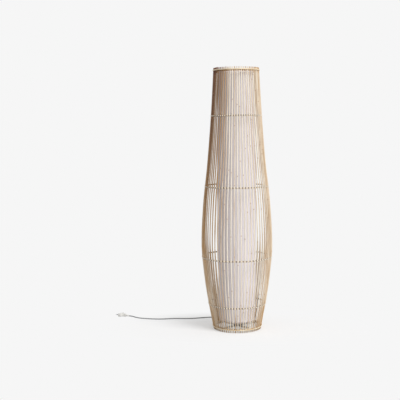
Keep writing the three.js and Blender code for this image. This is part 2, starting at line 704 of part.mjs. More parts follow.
function buildSwitch() {
  const housing = new THREE.Group();
  housing.position.set(0, switchNear + switchLength / 2, 0);
  lamp.add(housing);
  const corner = switchCornerRadius;
  const base = roundedOutline(switchLength, switchWidth, corner, THREE.Shape);
  add(housing, 'switch_base', new THREE.ExtrudeGeometry(base,
    { depth: switchBaseHeight, bevelEnabled: false, curveSegments: cornerSteps }), whitePlastic);
  const coverBase = switchBaseHeight + seatGap;
  const windowHalfLength = rockerLength / 2 + 2 * rockerClearance;
  const windowHalfWidth = rockerWidth / 2 + rockerClearance;
  const cover = roundedOutline(switchLength, switchWidth, corner, THREE.Shape);
  cover.holes.push(rectangle(-windowHalfWidth, -windowHalfLength, windowHalfWidth, windowHalfLength,
    THREE.Path));
  const block = new THREE.ExtrudeGeometry(cover,
    { depth: switchCoverHeight, bevelEnabled: false, curveSegments: cornerSteps });
  const coverSolid = toSolid(block.translate(0, 0, coverBase));
  const slotWidth = 2 * (rockerPinRadius + seatGap);
  const slotHeight = pivotHeight + rockerPinRadius + seatGap - coverBase;
  const slot = new THREE.BoxGeometry(rockerWidth + 2 * (rockerPinReach + seatGap), slotWidth,
    slotHeight + cutOverrun).translate(0, 0, coverBase + (slotHeight - cutOverrun) / 2);
  add(housing, 'switch_cover', toGeometry(coverSolid.subtract(toSolid(slot))), whitePlastic);
  buildRocker(housing);
  buildSwitchRelief(housing, 'switch_relief_lamp_side', -1);
  buildSwitchRelief(housing, 'switch_relief_plug_side', 1);
}

function buildRocker(housing) {
  const half = rockerLength / 2;
  const side = new THREE.Shape([
    new THREE.Vector2(-half + rockerBelly, -rockerBelly),
    new THREE.Vector2(half - rockerBelly, -rockerBelly),
    new THREE.Vector2(half, rockerRise),
    new THREE.Vector2(0, rockerDip),
    new THREE.Vector2(-half, rockerRise),
  ]);
  const paddle = new THREE.ExtrudeGeometry(side, { depth: rockerWidth, bevelEnabled: false })
    .translate(0, 0, -rockerWidth / 2).rotateX(Math.PI / 2).rotateZ(Math.PI / 2);
  const pin = new THREE.CylinderGeometry(rockerPinRadius, rockerPinRadius,
    rockerWidth + 2 * rockerPinReach, pinSides).rotateZ(Math.PI / 2);
  const rocker = add(housing, 'switch_rocker', toGeometry(toSolid(paddle).add(toSolid(pin))), whitePlastic);
  rocker.position.z = pivotHeight;
  rocker.rotation.x = THREE.MathUtils.degToRad(-rockerSwing);
}

function buildSwitchRelief(housing, name, end) {
  const relief = new THREE.CylinderGeometry(reliefTipRadius, switchReliefRadius, switchReliefLength,
    tubeSides);
  if (end < 0) {
    relief.rotateX(Math.PI);
  }
  add(housing, name, relief, cordGrey)
    .position.set(0, end * (switchLength / 2 + seatGap + switchReliefLength / 2), switchCordHeight);
}

// A flat two-pin plug: it lies on the floor, with its pins pointing along its group's +X.
function buildPlug() {
  const plug = new THREE.Group();
  plug.position.copy(plugEnd);
  plug.rotation.z = THREE.MathUtils.degToRad(plugHeading);
  lamp.add(plug);
  const shoulder = plugLength * plugShoulderShare;
  const outline = new THREE.Shape();
  outline.moveTo(0, -plugNeckWidth / 2);
  outline.quadraticCurveTo(plugLength - shoulder, -plugNeckWidth / 2, plugLength - shoulder, -plugWidth / 2);
  outline.lineTo(plugLength, -plugWidth / 2);
  outline.lineTo(plugLength, plugWidth / 2);
  outline.lineTo(plugLength - shoulder, plugWidth / 2);
  outline.quadraticCurveTo(plugLength - shoulder, plugNeckWidth / 2, 0, plugNeckWidth / 2);
  outline.closePath();
  const depth = plugThickness - 2 * plugEdgeRadius;
  const body = new THREE.ExtrudeGeometry(outline, { depth, curveSegments: cornerSteps, bevelSegments: 1,
    bevelSize: plugEdgeRadius, bevelThickness: plugEdgeRadius, bevelOffset: -plugEdgeRadius });
  add(plug, 'plug_body', body.translate(0, 0, -depth / 2), whitePlastic);
  const relief = new THREE.CylinderGeometry(plugReliefRadius, reliefTipRadius, plugReliefLength,
    tubeSides).rotateZ(-Math.PI / 2);
  add(plug, 'plug_relief', relief, whitePlastic).position.x = -seatGap - plugReliefLength / 2;
  [-1, 1].forEach((side, index) => {
    const pin = new THREE.CylinderGeometry(plugPinRadius, plugPinRadius, plugPinLength, pinSides)
      .rotateZ(-Math.PI / 2);
    add(plug, `plug_pin_${index + 1}`, pin, zincSteel)
      .position.set(plugLength + seatGap + plugPinLength / 2, (side * plugPinSpacing) / 2, 0);
  });
}

buildCaneCage();
buildHoops();
buildRows();
buildFootFrame();
buildBindings();
buildStem();
buildStemRelief();
buildHolder();
buildRetainingRing();
buildBulb();
buildShade();
buildCarrier();
buildStemLead();
buildCord();
buildSwitch();
buildPlug();

export default lamp;
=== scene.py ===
import json
from math import atan2, cos, hypot, pi, prod, radians, sin
import random

import bmesh
import bpy
from mathutils import Matrix, Vector

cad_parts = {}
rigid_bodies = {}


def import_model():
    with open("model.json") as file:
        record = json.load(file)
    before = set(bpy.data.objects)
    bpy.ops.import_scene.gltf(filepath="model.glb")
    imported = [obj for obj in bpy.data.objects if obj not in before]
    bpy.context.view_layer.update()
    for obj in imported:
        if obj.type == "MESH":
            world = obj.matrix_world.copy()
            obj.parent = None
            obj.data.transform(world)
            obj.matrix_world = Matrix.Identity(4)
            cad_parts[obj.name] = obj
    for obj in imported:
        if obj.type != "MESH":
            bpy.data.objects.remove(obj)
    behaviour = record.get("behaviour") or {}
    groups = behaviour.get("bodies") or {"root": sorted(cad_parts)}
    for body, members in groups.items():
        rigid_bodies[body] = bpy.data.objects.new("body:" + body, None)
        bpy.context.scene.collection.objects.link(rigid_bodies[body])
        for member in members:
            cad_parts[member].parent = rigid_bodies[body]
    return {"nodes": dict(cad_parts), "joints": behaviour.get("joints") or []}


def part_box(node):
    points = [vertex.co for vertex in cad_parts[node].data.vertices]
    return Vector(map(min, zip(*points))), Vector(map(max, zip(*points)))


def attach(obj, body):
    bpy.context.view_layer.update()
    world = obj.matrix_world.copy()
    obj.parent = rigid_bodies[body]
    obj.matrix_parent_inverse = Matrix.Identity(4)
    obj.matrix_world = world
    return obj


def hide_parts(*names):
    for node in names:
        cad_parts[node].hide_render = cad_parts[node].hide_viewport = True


# Rattan floor lamp, 1.2 m tall. Metres throughout, +Z up, the front is -Y.

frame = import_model()
for default in [thing for thing in bpy.data.objects if thing.name in ("Cube", "Light", "Camera")]:
    bpy.data.objects.remove(default)
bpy.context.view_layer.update()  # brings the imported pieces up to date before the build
scene = bpy.context.scene
fullTurn = 2 * pi
tiny = 1e-6  # places nearer than this are one
white = (1, 1, 1, 1)


def addObject(name, data):
    made = bpy.data.objects.new(name, data)
    scene.collection.objects.link(made)
    return made


def turnBy(angle, axis):
    return Matrix.Rotation(angle, 4, axis)


def shift(x, y, z):
    return Matrix.Translation((x, y, z))


# Camera, fitted to the rim, the rows and the foot as the photograph shows them
cameraSettings = {
    "distance": 3.6072,  # in front of the lamp's axis
    "height": 0.9353,
    "around": 1.1,  # degrees round the lamp, so that the canes stand as the photograph shows them
    "turnLeft": 2.6855,  # degrees, as the next two
    "tiltDown": 5.334,
    "roll": -0.4933,
    "focalPixels": 785,
    "picturePixels": 400,
    "sensorWidth": 36,
}


def makeCamera(s):
    data = bpy.data.cameras.new("camera")
    data.sensor_width = s["sensorWidth"]
    data.lens = s["sensorWidth"] * s["focalPixels"] / s["picturePixels"]
    camera = addObject("camera", data)
    turns = [(s["around"], "Z"), (s["turnLeft"], "Z"), (90 - s["tiltDown"], "X"), (s["roll"], "Z")]
    around, turn, tip, roll = [turnBy(radians(angle), axis) for angle, axis in turns]
    camera.location = around @ Vector((0, -s["distance"], s["height"]))
    camera.rotation_euler = (around @ turn @ tip @ roll).to_euler()
    scene.camera = camera


makeCamera(cameraSettings)
print("camera stands at the photograph's place")


# Node trees
def feed(tree, socket, value):
    if isinstance(value, bpy.types.NodeSocket):
        tree.links.new(value, socket)
    else:
        socket.default_value = value


# A node with its settings, and what its first sockets are fed
def addNode(tree, kind, *fed, **values):
    made = tree.nodes.new("ShaderNode" + kind)
    for name, value in values.items():
        setattr(made, name, value)
    for socket, value in zip(made.inputs, fed):
        feed(tree, socket, value)
    return made


def doMath(tree, operation, *values):
    return addNode(tree, "Math", *values, operation=operation).outputs[0]


def mixColour(tree, share, first, second):
    made = addNode(tree, "Mix", share, data_type="RGBA")
    feed(tree, made.inputs[6], first)  # sockets 6 and 7 are the two colours
    feed(tree, made.inputs[7], second)
    return made.outputs[2]


def remap(tree, value, fromLow, fromHigh, toLow, toHigh):
    return addNode(tree, "MapRange", value, fromLow, fromHigh, toLow, toHigh).outputs[0]


def noise(tree, vector, scale, detail):
    made = addNode(tree, "TexNoise", vector)
    feed(tree, made.inputs["Scale"], scale)
    made.inputs["Detail"].default_value = detail
    return made.outputs[0]


def stretch(tree, vector, x, y, z):
    scales = addNode(tree, "CombineXYZ", x, y, z).outputs[0]
    return addNode(tree, "VectorMath", vector, scales, operation="MULTIPLY").outputs[0]


def newGroup(name, inputs, outputs):
    group = bpy.data.node_groups.new(name, "ShaderNodeTree")
    for label, value in inputs.items():
        kind = "NodeSocketVector" if value is None else "NodeSocketFloat"
        socket = group.interface.new_socket(label, in_out="INPUT", socket_type=kind)
        if value is not None:
            socket.default_value = value
    for label in outputs:
        group.interface.new_socket(label, in_out="OUTPUT", socket_type="NodeSocketFloat")
    return group, group.nodes.new("NodeGroupInput").outputs, group.nodes.new("NodeGroupOutput").inputs


def useGroup(tree, group, **values):
    made = addNode(tree, "Group", node_tree=group)
    for name, value in values.items():
        feed(tree, made.inputs[name], value)
    return made.outputs


# Streaks that run along the vector's Z, and slow patches of tone along them
def buildGrain(name, slowAcross, slowAlong, bend=None):
    group, given, made = newGroup(name, {"Vector": None, "Across": 2400, "Along": 25},
                                  ["Fibres", "Mottle"])
    place = bend(group, given["Vector"]) if bend else given["Vector"]
    streaks = stretch(group, place, given["Across"], given["Across"], given["Along"])
    group.links.new(noise(group, streaks, 1, 3), made["Fibres"])
    slow = stretch(group, place, slowAcross, slowAcross, slowAlong)
    group.links.new(noise(group, slow, 1, 2), made["Mottle"])
    return group


def splitRound(group, vector):
    x, y, z = addNode(group, "SeparateXYZ", vector).outputs
    return x, y, z, doMath(group, "ARCTAN2", x, doMath(group, "MULTIPLY", y, -1))


# On a band that runs round the lamp the streaks follow it
def roundTheLamp(group, vector):
    x, y, z, angle = splitRound(group, vector)
    squares = doMath(group, "ADD", doMath(group, "MULTIPLY", x, x), doMath(group, "MULTIPLY", y, y))
    arc = doMath(group, "MULTIPLY", angle, 0.12)  # about the arc's length, at a hoop's radius
    return addNode(group, "CombineXYZ", doMath(group, "SQRT", squares), z, arc).outputs[0]


# Threads round the shade and up it, with the slubs of a linen-like cloth
def buildClothWeave():
    group, given, made = newGroup("clothWeave", {"Vector": None, "Pitch": 0.0011, "Reach": 0.09},
                                  ["Threads", "Slubs"])
    _, _, z, angle = splitRound(group, given["Vector"])
    around = doMath(group, "MULTIPLY", angle, given["Reach"])
    perTurn = doMath(group, "DIVIDE", fullTurn, given["Pitch"])
    warp = doMath(group, "SINE", doMath(group, "MULTIPLY", around, perTurn))
    weft = doMath(group, "SINE", doMath(group, "MULTIPLY", z, perTurn))
    group.links.new(doMath(group, "MULTIPLY", warp, weft), made["Threads"])
    flat = addNode(group, "CombineXYZ", around, z).outputs[0]
    across, along = 700, 18  # slubs in a metre
    upright = noise(group, stretch(group, flat, across, along, 1), 1, 2)
    level = noise(group, stretch(group, flat, along, across, 1), 1, 2)
    group.links.new(doMath(group, "MULTIPLY", doMath(group, "ADD", upright, level), 0.5), made["Slubs"])
    return group


# Handling marks: broad faint patches, and short fine scuffs
def buildSoftWear():
    group, given, made = newGroup("softWear", {"Vector": None, "Scale": 40}, ["Patches", "Scuffs"])
    group.links.new(noise(group, given["Vector"], given["Scale"], 3), made["Patches"])
    fine = stretch(group, given["Vector"], 900, 260, 600)
    scuffs = remap(group, noise(group, fine, 1, 4), 0.6, 0.75, 0, 1)
    group.links.new(scuffs, made["Scuffs"])
    return group


fibreGrain = buildGrain("fibreGrain", slowAcross=60, slowAlong=9)
hoopGrain = buildGrain("hoopGrain", slowAcross=90, slowAlong=30, bend=roundTheLamp)
clothWeave = buildClothWeave()
softWear = buildSoftWear()


def paint(red, green, blue):  # a colour as a screen shows it, 0 to 255
    def light(value):
        share = value / 255
        return share / 12.92 if share <= 0.04045 else ((share + 0.055) / 1.055) ** 2.4
    return (light(red), light(green), light(blue), 1)


def newMaterial(name, **constants):
    material = bpy.data.materials.new(name)
    material.use_nodes = True
    shader = material.node_tree.nodes["Principled BSDF"]
    for label, value in constants.items():
        shader.inputs[label.replace("_", " ")].default_value = value
    return material, material.node_tree, shader.inputs


def addBump(tree, sockets, height, distance, strength=1):
    bump = addNode(tree, "Bump")
    bump.inputs["Strength"].default_value = strength
    bump.inputs["Distance"].default_value = distance
    tree.links.new(height, bump.inputs["Height"])
    tree.links.new(bump.outputs[0], sockets["Normal"])


def objectPlace(tree):
    return addNode(tree, "TexCoord").outputs["Object"]


def attribute(tree, name, output):
    return addNode(tree, "Attribute", attribute_name=name).outputs[output]


caneFinish = {
    "pale": paint(255, 245, 226),
    "tan": paint(198, 161, 115),
    # dark: the stained cane's own colour, and painted shade where the side canes' painted shade runs past
    # 1
    "dark": paint(106, 60, 36),
    "streak": paint(164, 122, 84),
    "knot": paint(190, 152, 114),
}


# The fibres roughen the surface and stand up from it
def finishFibres(tree, shader, colour, fibres, smoothest, roughest, depth):
    tree.links.new(colour, shader["Base Color"])
    tree.links.new(remap(tree, fibres, 0.2, 0.8, smoothest, roughest), shader["Roughness"])
    addBump(tree, shader, fibres, depth)


def makeCaneMaterial(s):
    material, tree, shader = newMaterial("caneFinish")
    grain = useGroup(tree, fibreGrain, Vector=attribute(tree, "caneSpace", "Vector"))
    # The tone holds the canes' random tone and stain together with their painted shade
    tone = doMath(tree, "ADD", attribute(tree, "caneTone", "Fac"),
                  remap(tree, grain["Mottle"], 0.3, 0.7, -0.3, 0.3))
    base = mixColour(tree, tone, s["pale"], s["tan"])
    deep = mixColour(tree, remap(tree, attribute(tree, "caneTone", "Fac"), 1, 2, 0, 1), base, s["dark"])
    streaked = mixColour(tree, remap(tree, grain["Fibres"], 0.52, 0.75, 0, 0.5), deep, s["streak"])
    knotted = mixColour(tree, attribute(tree, "caneKnot", "Fac"), streaked, s["knot"])
    finishFibres(tree, shader, knotted, grain["Fibres"], 0.42, 0.66, 0.00015)
    return material


# Peel, pale and tan: outside; in the rows, with painted shade where a strand dips between two canes; on
# the hoops inside, darker as painted shade; and on the lashing
peelFinishes = {
    "peelFinish": {"pale": paint(250, 238, 212), "tan": paint(230, 206, 168)},
    # The twine's gap colour is painted shade, where a strand dips between two canes
    "twineFinish": {"pale": paint(255, 246, 230), "tan": paint(251, 234, 208), "gap": paint(58, 36, 24)},
    "paintedShadePeelFinish": {"pale": paint(224, 190, 152), "tan": paint(196, 158, 122)},
    "lashingFinish": {"pale": paint(150, 92, 70), "tan": paint(118, 66, 48)},
}


def makePeelMaterial(name, s):
    material, tree, shader = newMaterial(name)
    grain = useGroup(tree, hoopGrain, Vector=objectPlace(tree), Across=1800, Along=60)
    base = mixColour(tree, remap(tree, grain["Mottle"], 0.35, 0.65, 0, 1), s["pale"], s["tan"])
    streaked = mixColour(tree, remap(tree, grain["Fibres"], 0.55, 0.8, 0, 0.5), base, s["tan"])
    # Painted shade on the strands, deepest in the gaps between canes
    if "gap" in s:
        streaked = mixColour(tree, attribute(tree, "inGap", "Fac"), streaked, s["gap"])
    finishFibres(tree, shader, streaked, grain["Fibres"], 0.38, 0.6, 0.0002)
    return material


clothFinish = {
    "white": paint(240, 235, 240),
    "slub": paint(232, 227, 232),
}


def makeClothMaterial(s):
    material, tree, shader = newMaterial("shadeCloth", Sheen_Weight=0.15, Sheen_Roughness=0.5)
    weave = useGroup(tree, clothWeave, Vector=objectPlace(tree))
    slubs = remap(tree, weave["Slubs"], 0.42, 0.68, 0, 1)
    tree.links.new(mixColour(tree, slubs, s["white"], s["slub"]), shader["Base Color"])
    tree.links.new(remap(tree, weave["Threads"], -1, 1, 0.92, 0.78), shader["Roughness"])
    height = doMath(tree, "ADD", doMath(tree, "MULTIPLY", weave["Threads"], 0.4), weave["Slubs"])
    addBump(tree, shader, height, 0.00012, 0.6)
    return material


# A moulded, painted or plated finish: two near colours in patches, scuffs that catch less light
def makeHardMaterial(name, colour, marked, smoothest, roughest, bump, scale=40, **constants):
    material, tree, shader = newMaterial(name, **constants)
    wear = useGroup(tree, softWear, Vector=objectPlace(tree), Scale=scale)
    patches = remap(tree, wear["Patches"], 0.35, 0.7, 0, 1)
    toned = mixColour(tree, patches, paint(*colour), paint(*marked))
    tree.links.new(toned, shader["Base Color"])
    worn = doMath(tree, "ADD", remap(tree, wear["Patches"], 0.3, 0.7, smoothest, roughest),
                  doMath(tree, "MULTIPLY", wear["Scuffs"], 0.12))
    tree.links.new(worn, shader["Roughness"])
    addBump(tree, shader, noise(tree, objectPlace(tree), 2600, 1), bump)
    return material


cane = makeCaneMaterial(caneFinish)
peel, twine, paintedShadePeel, lashing = [makePeelMaterial(*finish) for finish in peelFinishes.items()]
cloth = makeClothMaterial(clothFinish)
hardFinishes = {  # name, colour, colour of the patches, smoothest, roughest, depth of the grain
    "white_steel": ("powderCoat", (244, 240, 230), (236, 231, 219), 0.38, 0.5, 0.00006),
    "zinc_steel": ("zincPlate", (212, 213, 215), (190, 192, 195), 0.24, 0.42, 0.00002),
    "brass": ("brassFinish", (206, 172, 98), (176, 140, 74), 0.2, 0.36, 0.00002),
    "white_plastic": ("whiteMoulding", (236, 235, 231), (229, 227, 221), 0.3, 0.42, 0.00005),
    "ceramic": ("glazedBlock", (240, 238, 231), (232, 229, 220), 0.12, 0.22, 0.00003),
    "opal": ("opalDome", (250, 249, 245), (244, 243, 238), 0.22, 0.32, 0.00001),
    "cord_grey": ("cordJacket", (158, 159, 161), (146, 147, 150), 0.42, 0.58, 0.00004),
    "dark_sleeve": ("darkInsulation", (58, 56, 56), (46, 44, 45), 0.35, 0.5, 0.00004),
}
finishExtras = {
    "zinc_steel": {"Metallic": 1},
    "brass": {"Metallic": 1},
    "ceramic": {"Coat_Weight": 0.6},
    "opal": {"Coat_Weight": 0.25, "scale": 15},
    "cord_grey": {"scale": 120},
}
hard = {slotName: makeHardMaterial(*values, **finishExtras.get(slotName, {}))
        for slotName, values in hardFinishes.items()}
insulatedMetal = [hard["zinc_steel"], hard["dark_sleeve"]]
print("finishes mixed")


# Meshes
def dress(piece, body, nodes):
    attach(piece, body)
    if nodes:
        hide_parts(*nodes)
    return piece


def finishPiece(name, bm, slotName, materials=None, nodes=(), body="lamp", softAngle=40):
    mesh = bpy.data.meshes.new(name)
    bm.to_mesh(mesh)
    bm.free()
    mesh.shade_smooth()
    mesh.set_sharp_from_angle(angle=radians(softAngle))
    for material in materials or [hard[slotName]]:
        mesh.materials.append(material)
    return dress(addObject(name, mesh), body, nodes)


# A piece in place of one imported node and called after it, as stemWasher for stem_washer
def replaceNode(node, bm, slotName, materials=None, **others):
    first, *words = node.split("_")
    name = first + "".join(word.capitalize() for word in words)
    return finishPiece(name, bm, slotName, materials, [node], **others)


def faceOut(bm):
    bmesh.ops.recalc_face_normals(bm, faces=bm.faces[:])


def bevel(bm, geom, offset, segments=2, affect="EDGES"):
    bmesh.ops.bevel(bm, geom=geom, offset=offset, segments=segments, profile=0.5, affect=affect,
                    material=-1)


def bevelSharp(bm, edges, offset, segments=2, minAngle=1):
    bevel(bm, [edge for edge in edges if edge.calc_face_angle(0) > minAngle], offset, segments)


def edgesOf(corners):
    return list(dict.fromkeys(edge for vertex in corners for edge in vertex.link_edges))


def addRod(bm, radius, length, place, sides=16):
    bmesh.ops.create_cone(bm, cap_ends=True, segments=sides, radius1=radius, radius2=radius,
                          depth=length, matrix=place)


def cornersOf(geom):
    return [part for part in geom if isinstance(part, bmesh.types.BMVert)]


def extrudeBy(bm, vector):
    made = bmesh.ops.extrude_face_region(bm, geom=bm.faces[:])
    bmesh.ops.translate(bm, vec=vector, verts=cornersOf(made["geom"]))


def spin(bm, edges, steps):
    bmesh.ops.spin(bm, geom=edges, cent=(0, 0, 0), axis=(0, 0, 1), angle=fullTurn, steps=steps,
                   use_merge=True)


def spinRound(bm, steps):
    spin(bm, bm.edges[:], steps)
    bmesh.ops.remove_doubles(bm, verts=bm.verts[:], dist=tiny)
    faceOut(bm)
    return bm


# A turned piece from its half section: open from axis to axis, or a ring that closes on itself
def turned(profile, isRing=False, soft=0.0003, steps=48):
    bm = bmesh.new()
    corners = [bm.verts.new((radius, 0, height)) for radius, height in profile]
    following = corners[1:] + (corners[:1] if isRing else [])
    for pair in zip(corners, following):
        bm.edges.new(pair)
    if soft:
        bevel(bm, corners if isRing else corners[1:-1], soft, affect="VERTICES")
    return spinRound(bm, steps)


def tube(outer, inner, low, high, soft=0.0003, steps=48):
    profile = [(outer, low), (outer, high), (inner, high), (inner, low)]
    return turned(profile, isRing=True, soft=soft, steps=steps)


def moved(bm, matrix):
    bmesh.ops.transform(bm, matrix=matrix, verts=bm.verts[:])
    return bm


# A round bar ring: its middle line's radius and height, and the bar's own radius
def wireRing(bm, radius, height, thickness, steps=96):
    across = shift(radius, 0, height) @ turnBy(pi / 2, "X")
    made = bmesh.ops.create_circle(bm, radius=thickness, segments=10, matrix=across)
    spin(bm, edgesOf(made["verts"]), steps)


# Points of a bend from the first place to the last, drawn towards the control
def bendPoints(first, control, last, steps):
    points = []
    for step in range(steps + 1):
        t = step / steps
        shares = (1 - t) ** 2, 2 * t * (1 - t), t ** 2
        points.append([sum(map(prod, zip(shares, axis))) for axis in zip(first, control, last)])
    return points


# Cords: the route from the stem to the switch, and from there through the coil to the plug
cordSettings = {
    "radius": 0.0027,
    "sleeveLip": 0.0007,  # of a sleeve's end over the cord
    "sleeveEdge": 0.00015,
    "lampLength": 0.112,  # from the stem to the switch
    "plugLength": 1.59,  # from the switch to the plug
    "lampRoute": [  # here and below, a place without a height lies on the floor
        (0, 0.0316, 0.034), (0, 0.042, 0.0332), (0, 0.054, 0.0285), (0, 0.066, 0.020), (0, 0.078, 0.011),
        (0, 0.090, 0.0049), (0, 0.102), (0, 0.114), (0, 0.121, 0.0031), (0, 0.127, 0.0041),
        (0, 0.1334, 0.0044),
    ],
    "coilRoute": [
        (0, 0.2086, 0.0044), (0, 0.211, 0.0043), (0, 0.217, 0.0035), (0, 0.2225, 0.0028), (0, 0.2263),
    ],
    "plugRoute": [
        (-0.0777, 0.220, 0.0084), (-0.0795, 0.2095, 0.0072), (-0.085, 0.199, 0.0054),
        (-0.0945, 0.1905, 0.0037), (-0.106, 0.1853, 0.0029), (-0.120, 0.181), (-0.144, 0.1745),
        (-0.168, 0.167), (-0.192, 0.159), (-0.217, 0.151), (-0.244, 0.1465), (-0.275, 0.146),
        (-0.305, 0.1455), (-0.333, 0.1405), (-0.362, 0.134), (-0.394, 0.132), (-0.424, 0.135),
        (-0.452, 0.141), (-0.478, 0.1485), (-0.502, 0.1583, 0.0042), (-0.519, 0.1669, 0.0064),
        (-0.53505, 0.1754, 0.0068),
    ],
    "coilStartReach": 0.232,
    "coilLoops": 5.5,
    "coilInnerRadius": 0.0224,
    "coilTurnGap": 0.00055,
    "coilStepsPerLoop": 24,
}


def coilPoints(s):
    diameter = 2 * s["radius"]
    pitch = diameter + s["coilTurnGap"]
    outer = s["coilInnerRadius"] + s["coilLoops"] / 2 * pitch
    steps = round(s["coilLoops"] * s["coilStepsPerLoop"])
    points = []
    for step in range(steps + 1):
        loops = s["coilLoops"] * step / steps
        fromMiddle = loops - s["coilLoops"] / 2
        radius = s["coilInnerRadius"] + abs(fromMiddle) * pitch
        climb = min(1, max(0, 0.5 + 2 * fromMiddle))
        angle = fullTurn * loops
        points.append((radius * cos(angle) - outer, s["coilStartReach"] + radius * sin(angle),
                       s["radius"] + climb * pitch))
    return points


def makeCord(name, points, s, nodes):
    data = bpy.data.curves.new(name, "CURVE")
    data.dimensions = "3D"
    data.bevel_depth = s["radius"]
    data.bevel_resolution = 3
    data.resolution_u = 6
    data.use_fill_caps = True
    spline = data.splines.new("BEZIER")
    spline.bezier_points.add(len(points) - 1)
    for knot, point in zip(spline.bezier_points, points):
        knot.co = point if len(point) == 3 else (*point, s["radius"])
        knot.handle_left_type = knot.handle_right_type = "AUTO"
    data.materials.append(hard["cord_grey"])
    return dress(addObject(name, data), "lamp", nodes)


# Half section of a sleeve on the cord, tapered, with grooves placed by shares of its length
def sleeveProfile(root, low, high, s):
    tip = cordSettings["radius"] + cordSettings["sleeveLip"]
    profile = [(root, low)]
    for index in range(s["count"]):
        start = s["first"] + index * s["pitch"]
        radius = root + (tip - root) * start
        bottom = radius - s["depth"]
        for reach, across in ((radius, 0), (bottom, s["bank"]), (bottom, 1 - s["bank"]), (radius, 1)):
            profile.append((reach, low + (start + across * s["width"]) * (high - low)))
    return profile + [(tip, high), (0, high)]


def turnSleeve(profile):
    return turned(profile, soft=cordSettings["sleeveEdge"], steps=32)


# Switch on the cord, its long side along Y
switchSettings = {
    "corner": 0.009,
    "baseEdge": 0.0014,
    "coverEdge": 0.001,
    "windowWidth": 0.012,
    "windowLength": 0.022,
    "windowCorner": 0.0012,
    "rockerLength": 0.020,
    "rockerWidth": 0.011,
    "rockerRise": 0.0044,
    "rockerDip": 0.0026,
    "rockerBelly": 0.0012,
    "rockerEdge": 0.0004,
    "rockerTilt": -8,  # degrees
    "pinRadius": 0.0012,
    "pinReach": 0.0014,
    "grooves": {"count": 3, "first": 0.2, "pitch": 0.7 / 3, "width": 0.35 / 3, "depth": 0.0005,
                "bank": 0.15},
}


# A flat plate with rounded corners, lying where the matrix puts it
def addPlate(bm, place, width, length, corner, steps=8):
    size = Matrix.Diagonal((width, length, 1, 1))
    made = bmesh.ops.create_grid(bm, x_segments=1, y_segments=1, size=0.5, matrix=place @ size)
    bevel(bm, made["verts"], corner, steps, "VERTICES")


# Two plates, one inside the other, become the flat frame between them
def joinPlates(bm):
    bmesh.ops.delete(bm, geom=bm.faces[:], context="FACES_ONLY")
    bmesh.ops.bridge_loops(bm, edges=bm.edges[:])


def softenEdges(bm, offset, height):
    atHeight = [edge for edge in bm.edges if all(abs(v.co.z - height) < tiny for v in edge.verts)
                and len(edge.link_faces) == 2]
    bevelSharp(bm, atHeight, offset, 3)


# Half of the case, from its node's box: the cover has the window in which the rocker sits
def makeSwitchHalf(node, isCover, s):
    low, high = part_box(node)
    place = shift((low[0] + high[0]) / 2, (low[1] + high[1]) / 2, high[2])
    bm = bmesh.new()
    addPlate(bm, place, high[0] - low[0], high[1] - low[1], s["corner"])
    if isCover:
        addPlate(bm, place, s["windowWidth"], s["windowLength"], s["windowCorner"])
        joinPlates(bm)
    extrudeBy(bm, (0, 0, low[2] - high[2]))
    faceOut(bm)
    softenEdges(bm, s["coverEdge"] if isCover else s["baseEdge"], high[2] if isCover else low[2])
    return replaceNode(node, bm, "white_plastic")


def makeSwitch(s):
    return [
        makeSwitchHalf("switch_base", False, s),
        makeSwitchHalf("switch_cover", True, s),
        makeRelief("switch_relief_lamp_side", -1, s["grooves"]),
        makeRelief("switch_relief_plug_side", 1, s["grooves"]),
        makeRocker(s),
    ]


def makeRocker(s):
    half, belly, width = s["rockerLength"] / 2, s["rockerBelly"], s["rockerWidth"]
    bm = bmesh.new()
    outline = [(-half + belly, -belly), (half - belly, -belly)]
    for step in range(9):
        along = 1 - step / 4
        outline.append((along * half, s["rockerDip"] + (s["rockerRise"] - s["rockerDip"]) * along ** 2))
    bm.faces.new([bm.verts.new((-width / 2, y, z)) for y, z in outline])
    extrudeBy(bm, (width, 0, 0))
    faceOut(bm)
    bevelSharp(bm, bm.edges, s["rockerEdge"], minAngle=0.7)
    addRod(bm, s["pinRadius"], width + 2 * s["pinReach"], turnBy(pi / 2, "Y"))
    pivot = next(joint["pos_m"] for joint in frame["joints"] if joint["name"] == "switch_rock")
    moved(bm, shift(*pivot) @ turnBy(radians(s["rockerTilt"]), "X"))
    return replaceNode("switch_rocker", bm, "white_plastic", body="rocker")


# A sleeve along Y, filling the box of its node
def makeRelief(node, end, grooves):
    low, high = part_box(node)
    bm = turnSleeve([(0, 0)] + sleeveProfile((high[0] - low[0]) / 2, 0, high[1] - low[1], grooves))
    place = shift(0, low[1] if end > 0 else high[1], (low[2] + high[2]) / 2)
    moved(bm, place @ turnBy(-end * pi / 2, "X"))
    return replaceNode(node, bm, "cord_grey")


# Plug: built pointing along +X with its cord end at the origin, then turned to its heading
plugSettings = {
    "place": (-0.555, 0.186),
    "heading": 152,  # degrees from +X
    "length": 0.036,
    "width": 0.035,
    "thickness": 0.0136,
    "neckWidth": 0.009,
    "shoulderShare": 0.42,
    "edge": 0.002,
    "ribs": 4,
    "ribSize": (0.0012, 0.013, 0.0012),
    "ribSpread": 0.9,
    "ribEdge": 0.0003,
    "reliefLength": 0.022,
    "reliefRadius": 0.0042,
    "grooves": {"count": 5, "first": 1 / 11, "pitch": 2 / 11, "width": 0.08, "depth": 0.0006, "bank": 0.2},
    "pinRadius": 0.002,
    "pinLength": 0.019,
    "pinSpacing": 0.019,
    "pinTaper": 0.001,
    "pinEdge": 0.00025,
    "sleeveLength": 0.009,
    "sleeveThickness": 0.0001,
    "sleeveSlope": 0.0003,
    "gap": 0.0003,
}


